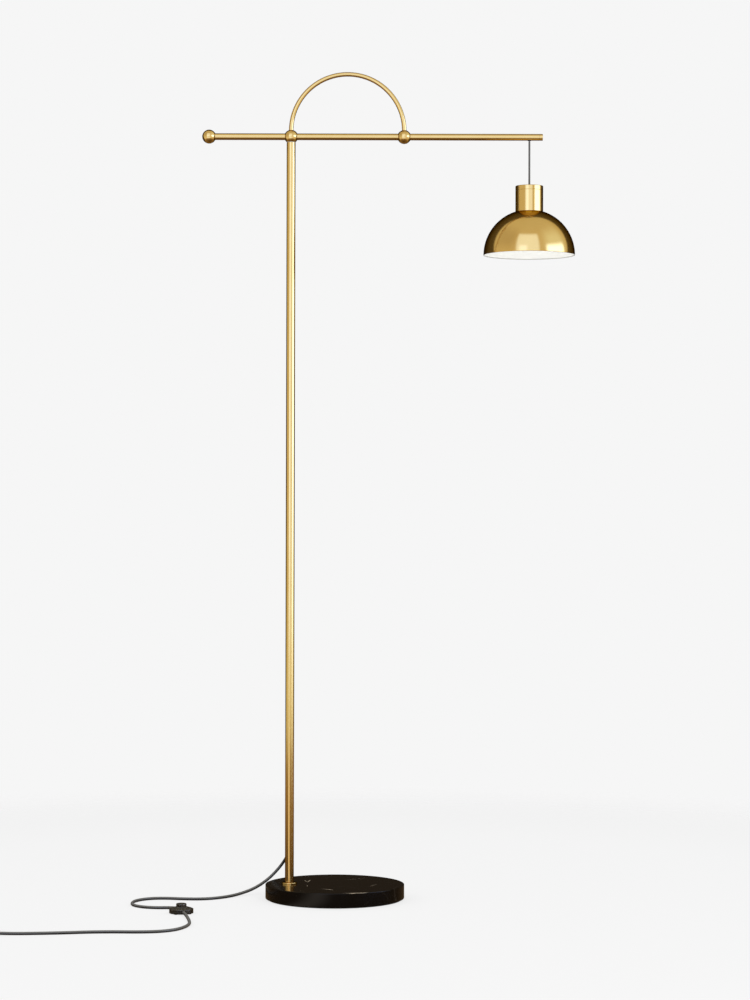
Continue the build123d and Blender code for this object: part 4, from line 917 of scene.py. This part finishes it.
dome_out = Vector((dome_top.y - dome_rim.y, dome_rim.x - dome_top.x)).normalized()
dome_shares = [step / DOME_PARTS for step in range(1, DOME_PARTS)]
cover_dome = [dome_rim.lerp(dome_top, s) + dome_out * DOME_BULGE * 4 * s * (1 - s) for s in dome_shares]
outline = eased([
    (inner_shell_r, shell_split.z, 0),
    (shell_r, shell_split.z, LINE_EDGE),
    (*dome_rim, SHELL_EDGE),
    *[(*point, 0) for point in cover_dome],
    (*dome_top, LINE_EDGE),
    (BUTTON_HOLE_R, shell_top - SHELL_TOP_T, 0),
    (inner_shell_r, SHELL_RIM_Z - SHELL_TOP_T, 0),
])
switch_cover = turned("switch_upper_half", outline, switch_spot, black_plastic, "stand", "black_plastic",
                      "switch_upper_shell", cord_holes, ring=True)

BUTTON_EDGE = 1.5 * MM
BUTTON_DISH = 0.5 * MM
BUTTON_LIP = 1.3 * MM
BUTTON_LIP_T = 1.2 * MM
BUTTON_WALL = 2.2 * MM
button_low, button_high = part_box("switch_button")
button_r = (button_high.x - button_low.x) / 2 - BUTTON_LIP
outline = eased([
    (button_r - BUTTON_WALL, button_low.z, 0),
    (button_r + BUTTON_LIP, button_low.z, 0),
    (button_r + BUTTON_LIP, button_low.z + BUTTON_LIP_T, 0),
    (button_r, button_low.z + BUTTON_LIP_T, 0),
    (button_r, button_high.z, BUTTON_EDGE),
    (button_r / 2, button_high.z - BUTTON_DISH / 2, 0),
    (0, button_high.z - BUTTON_DISH, 0),
    (0, button_high.z - BUTTON_WALL, 0),
    (button_r - BUTTON_WALL, button_high.z - BUTTON_WALL, 0),
])
switch_button = turned("switch_push_button", outline, switch_spot, black_plastic, "button", "black_plastic",
                       "switch_button", ring=True)

# The button's spring is wound from thin steel wire, which shortens when the button is pressed. A tree draws
# it.
SPRING_WIRE = 0.8 * MM
SPRING_TURNS = 4.0
spring_low, spring_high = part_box("switch_spring")
spring_r = (spring_high.x - spring_low.x - SPRING_WIRE) / 2
spring_foot = Vector((switch_middle.x, switch_middle.y, spring_low.z))
spring_length = spring_high.z - spring_low.z
tree, size = new_rule("button_spring", Turns=FLOAT, Radius=FLOAT, Rise=FLOAT, Wire=FLOAT, Foot=VECTOR)
spiral = put(tree, "GeometryNodeCurveSpiral", {
    "Resolution": 32, "Rotations": size["Turns"], "Height": size["Rise"],
    "Start Radius": size["Radius"], "End Radius": size["Radius"]})
stood = put(tree, "GeometryNodeTransform", {"Geometry": spiral, "Translation": size["Foot"]})
wire = put(tree, "GeometryNodeCurvePrimitiveCircle", {"Resolution": 12, "Radius": size["Wire"]})
wound = put(tree, "GeometryNodeCurveToMesh", {"Curve": stood, "Profile Curve": wire, "Fill Caps": True})
button_spring = grown("switch_button_spring", tree, wound, zinc_steel, Turns=SPRING_TURNS, Radius=spring_r,
                      Rise=spring_length - SPRING_WIRE, Wire=SPRING_WIRE / 2,
                      Foot=spring_foot + Vector((0, 0, SPRING_WIRE / 2)))
stands_for(button_spring, "stand", "zinc_steel", "switch_spring")
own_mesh(button_spring)

# Its four rubber feet are one disc, set round the base by a tree, each 45 degrees off the cord's line.
FOOT_R = 3.0 * MM
FEET_OFF_CORD = radians(45)
foot_low, foot_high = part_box("switch_feet")
feet_turn = SWITCH_TURN + FEET_OFF_CORD
foot_ring = ((foot_high.x - foot_low.x) / 2 - FOOT_R) / max(abs(cos(feet_turn)), abs(sin(feet_turn)))
tree, size = new_rule("switch_feet", Radius=FLOAT, Thickness=FLOAT, Ring=FLOAT, Middle=VECTOR)
ring = put(tree, "GeometryNodeMeshCircle", {"Vertices": 4, "Radius": size["Ring"]})
turned_ring = put(tree, "GeometryNodeTransform", {
    "Geometry": ring, "Translation": size["Middle"], "Rotation": Euler((0, 0, feet_turn))})
disc = put(tree, "GeometryNodeMeshCylinder", {
    "Vertices": 40, "Radius": size["Radius"], "Depth": size["Thickness"]})
feet = put(tree, "GeometryNodeInstanceOnPoints", {"Points": turned_ring, "Instance": disc})
switch_feet = grown("switch_rubber_feet", tree, feet, black_rubber, Radius=FOOT_R,
                    Thickness=foot_high.z - foot_low.z, Ring=foot_ring,
                    Middle=(switch_middle.x, switch_middle.y, middle("switch_feet", Z)))
stands_for(switch_feet, "stand", "black_rubber", "switch_feet")


# Tie and plug: a strap of black hook-and-loop webbing round the coil, with a short loose tail, and a flat
# two-pin plug of black rubber, moulded on the cord.
WEFT = 0.7 * MM
webbing, tree, shader, spot = new_finish("woven_nylon_webbing")
cells = put(tree, "ShaderNodeTexVoronoi", {"Vector": spot, "Scale": 1 / WEFT})
weave = blend(tree, cells, "2B2B2C", "0E0E0F")
loops = bump(tree, cells, 0.3 * MM, 0.7)
feed(tree, shader, {"Base Color": weave, "Normal": loops, "Roughness": 0.9})

TIE_T = 0.8 * MM
TIE_CORNER = 2.2 * MM
TIE_TAIL = 9 * MM
tie_low, tie_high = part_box("coil_tie")
tie_shape = bmesh.new()
rounds = []
for x in (tie_low.x, tie_high.x):
    for inset in (0, TIE_T):
        near, far = tie_low.y + inset, tie_high.y - inset
        below, above = tie_low.z + inset, tie_high.z - inset
        corners = (near, below), (far, below), (far, above), (near, above)
        strap = eased([(*corner, TIE_CORNER - inset) for corner in corners])
        rounds.append([tie_shape.verts.new((x, y, z)) for y, z in strap])
outer_near, inner_near, outer_far, inner_far = rounds
tie_sides = (outer_near, outer_far), (inner_far, inner_near), (inner_near, outer_near), (outer_far, inner_far)
for first, second in tie_sides:
    for point in range(len(first)):
        after = (point + 1) % len(first)
        tie_shape.faces.new((first[point], first[after], second[after], second[point]))
tail_size = Matrix.Diagonal((tie_high.x - tie_low.x, TIE_TAIL, TIE_T, 1))
tail_spot = Vector((middle("coil_tie", X), middle("coil_tie", Y), tie_high.z + TIE_T / 2))
bmesh.ops.create_cube(tie_shape, size=1, matrix=Matrix.Translation(tail_spot) @ tail_size)
bmesh.ops.recalc_face_normals(tie_shape, faces=tie_shape.faces)
coil_tie = shown("coil_webbing_tie", tie_shape, webbing)
stands_for(coil_tie, "stand", "tie_webbing", "coil_tie")
wear(black_rubber, "plug_body")
wear(black_plastic, "plug_pin_sleeves")


# Floor: a plain pale sheet that fades into the backdrop, so that only the lamp's soft shadow shows on it.
# In the metal it shows as a warm floor that is dim near the lamp, with the glare of the studio's strip light.
def bearing(tree, axes):
    """Heading of a way, from straight in front of the lamp."""
    ahead = calc(tree, "MULTIPLY", axes["Y"], -1.0)
    return calc(tree, "ARCTAN2", axes["X"], ahead)


def within(tree, measure, centre, outer, inner):
    """Share that is full within inner of a centre, and nothing beyond outer."""
    apart = calc(tree, "SUBTRACT", measure, centre)
    off = calc(tree, "ABSOLUTE", apart)
    return ramp(tree, off, outer, inner, kind=SMOOTH)


PALE = "F6F6F6"
FLOOR_R = 4.0
FADE_FROM, FADE_TO = 0.9, 2.0
EVEN_SHARE = 0.8
DIM_FLOOR, WARM_FLOOR, GLARE = (0.12, 0.07, 0.03, 1), (0.31, 0.20, 0.09, 1), (1.40, 1.20, 1.00, 1)
DIM_WITHIN, WARM_BEYOND = 0.35, 1.7
GLARE_HEADING, GLARE_HALF = radians(-15), radians(26)
MIRROR_FROM, MIRROR_TO = 1.4, 2.6
DRAWN_IN = 0.45
paper, tree, shader, spot = new_finish("pale_floor")
path = put(tree, "ShaderNodeLightPath").outputs
far = put(tree, "ShaderNodeVectorMath", [spot], "LENGTH")
fade = within(tree, far, 0.0, FADE_TO, FADE_FROM)
feed(tree, shader, {"Base Color": linear(PALE), "Roughness": 1.0, "Specular IOR Level": 0.0, "Alpha": fade})
even = calc(tree, "MULTIPLY", path["Is Camera Ray"], EVEN_SHARE)
faded = calc(tree, "MULTIPLY", even, fade)
plain = put(tree, "ShaderNodeEmission", {"Color": linear(PALE), "Strength": 1.0})
lit = put(tree, "ShaderNodeMixShader", [faded, shader, plain])

away = ramp(tree, far, DIM_WITHIN, WARM_BEYOND)
warmth = blend(tree, away, DIM_FLOOR, WARM_FLOOR)
from_pole = put(tree, "ShaderNodeMapping", {"Vector": spot, "Location": (-pole_x / 2, 0, 0)})
axes = axes_of(tree, from_pole)
streak = within(tree, bearing(tree, axes), GLARE_HEADING, GLARE_HALF, 0.0)
facing = put(tree, "ShaderNodeLayerWeight", {"Blend": 0.5}).outputs["Facing"]
gloss = calc(tree, "POWER", facing, 2.0)
glare = calc(tree, "MULTIPLY", streak, gloss)
mirrored = blend(tree, glare, warmth, GLARE)
glow = put(tree, "ShaderNodeEmission", {"Color": mirrored, "Strength": 1.0})
drawn = calc(tree, "MULTIPLY_ADD", gloss, -DRAWN_IN, 1.0)
drawn_far = calc(tree, "MULTIPLY", far, drawn)
reach = within(tree, drawn_far, 0.0, MIRROR_TO, MIRROR_FROM)
in_metal = put(tree, "ShaderNodeMixShader", [reach, put(tree, "ShaderNodeBsdfTransparent"), glow])
both = put(tree, "ShaderNodeMixShader", [path["Is Glossy Ray"], lit, in_metal])
feed(tree, tree.nodes["Material Output"], {"Surface": both})
floor_shape = bmesh.new()
bmesh.ops.create_circle(floor_shape, cap_ends=True, segments=96, radius=FLOOR_R)
floor = shown("floor", floor_shape, paper)


# Studio: broad soft light from the front and above, and the same pale tone behind the lamp for the camera.
# Polished metal mirrors a warm room instead, with a window and a side panel in front and a dark wall behind.
SOFTBOX_SIDE = 1.6
LAMP_MIDDLE = Vector((0, 0, 0.6))


def softbox(name, spot, power):
    """Large square lamp, aimed at the middle of the floor lamp, that the metal doesn't mirror."""
    lamp = bpy.data.lights.new(name, "AREA")
    lamp.size = SOFTBOX_SIDE
    lamp.energy = power
    holder = placed(name, lamp)
    holder.location = spot
    holder.rotation_euler = (LAMP_MIDDLE - Vector(spot)).to_track_quat("-Z", "Y").to_euler()
    holder.visible_camera = False
    holder.visible_glossy = False


softbox("key_softbox", (1.6, -2.6, 2.6), 28)
softbox("fill_softbox", (-2.4, -1.8, 2.0), 12)

world = bpy.data.worlds.new("studio")
bpy.context.scene.world = world
world.use_nodes = True
tree = world.node_tree
tree.nodes.clear()
path = put(tree, "ShaderNodeLightPath").outputs
way = put(tree, "ShaderNodeTexCoord").outputs["Generated"]
axes = axes_of(tree, way)
heading = bearing(tree, axes)
rise = calc(tree, "ARCSINE", axes["Z"])
room = []
ROOM_LAYERS = (
    # rise in degrees where a layer starts and is full, its colour: ceiling, far floor
    (30, 80, (0.66, 0.59, 0.42, 1)),
    (-5, -16, (0.84, 0.72, 0.55, 1)),
)
for begins, full, colour in ROOM_LAYERS:
    room.append((ramp(tree, rise, radians(begins), radians(full), kind=SMOOTH), colour))
FIRST_MIRROR = 1.5
in_first = calc(tree, "LESS_THAN", path["Glossy Depth"], FIRST_MIRROR)
in_later = calc(tree, "GREATER_THAN", path["Glossy Depth"], FIRST_MIRROR)
PANELS = (
    # heading and half width, rise and half height, soft edge, all in degrees, colour, the mirror if it
    # matters: right wall's glow, dim left wall, window, strip, side panel, far floor, and low on the right
    # and in front what the stone shows to the pole's foot
    (72, 30, 27, 22, 18, (0.88, 0.91, 0.84, 1)),
    (-74, 32, 36, 20, 16, (0.56, 0.48, 0.33, 1)),
    (-7, 30, 8.5, 40, 4, (1.08, 1.19, 1.50, 1)),
    (-19, 10, 1.5, 18, 5, (1.36, 1.60, 2.40, 1)),
    (69, 26, 8, 12, 6, (2.00, 2.45, 3.70, 1), in_first),
    (0, 200, -7.5, 4.2, 0.9, (0.86, 0.83, 0.63, 1)),
    (85, 60, 7, 12, 4, (0.16, 0.10, 0.05, 1), in_later),
    (-12, 22, 7, 12, 4, (1.50, 1.15, 0.75, 1), in_later),
)
for turn, half_wide, up, half_high, edge, colour, *masks in PANELS:
    for measure, centre, half in ((heading, turn, half_wide), (rise, up, half_high)):
        masks.append(within(tree, measure, radians(centre), radians(half + edge), radians(half - edge)))
    panel = 1.0
    for mask in masks:
        panel = calc(tree, "MULTIPLY", panel, mask)
    room.append((panel, colour))
TO_FAR_WALL = (-0.052, 0.9986, 0)
WALL_LEAN = 0.4
WALL_FOOT = radians(-50), radians(-35)
FAR_WALL = (
    # cosine from the wall's middle where a tone starts and is full, its colour
    (0.18, 0.27, (0.100, 0.074, 0.038, 1)),
    (0.55, 0.95, (0.036, 0.025, 0.015, 1)),
)
wall_way = put(tree, "ShaderNodeVectorMath", [way, TO_FAR_WALL], "DOT_PRODUCT")
aside = calc(tree, "ABSOLUTE", axes["X"])
slant = calc(tree, "MULTIPLY", aside, axes["Z"])
to_wall = calc(tree, "MULTIPLY_ADD", slant, -WALL_LEAN, wall_way)
above_floor = ramp(tree, rise, *WALL_FOOT)
for begins, full, colour in FAR_WALL:
    share = ramp(tree, to_wall, begins, full)
    room.append((calc(tree, "MULTIPLY", share, above_floor), colour))
AMBIENT = (0.81, 0.81, 0.81, 1)
view = (0.70, 0.61, 0.42, 1)
for share, colour in room:
    view = blend(tree, share, view, colour)
mirrored = blend(tree, path["Is Glossy Ray"], AMBIENT, view)
plain = calc(tree, "MAXIMUM", path["Is Camera Ray"], path["Is Transmission Ray"])
seen = blend(tree, plain, mirrored, PALE)
sky = put(tree, "ShaderNodeBackground", {"Color": seen, "Strength": 1.0})
put(tree, "ShaderNodeOutputWorld", {"Surface": sky})
bpy.context.scene.view_settings.view_transform = "Standard"
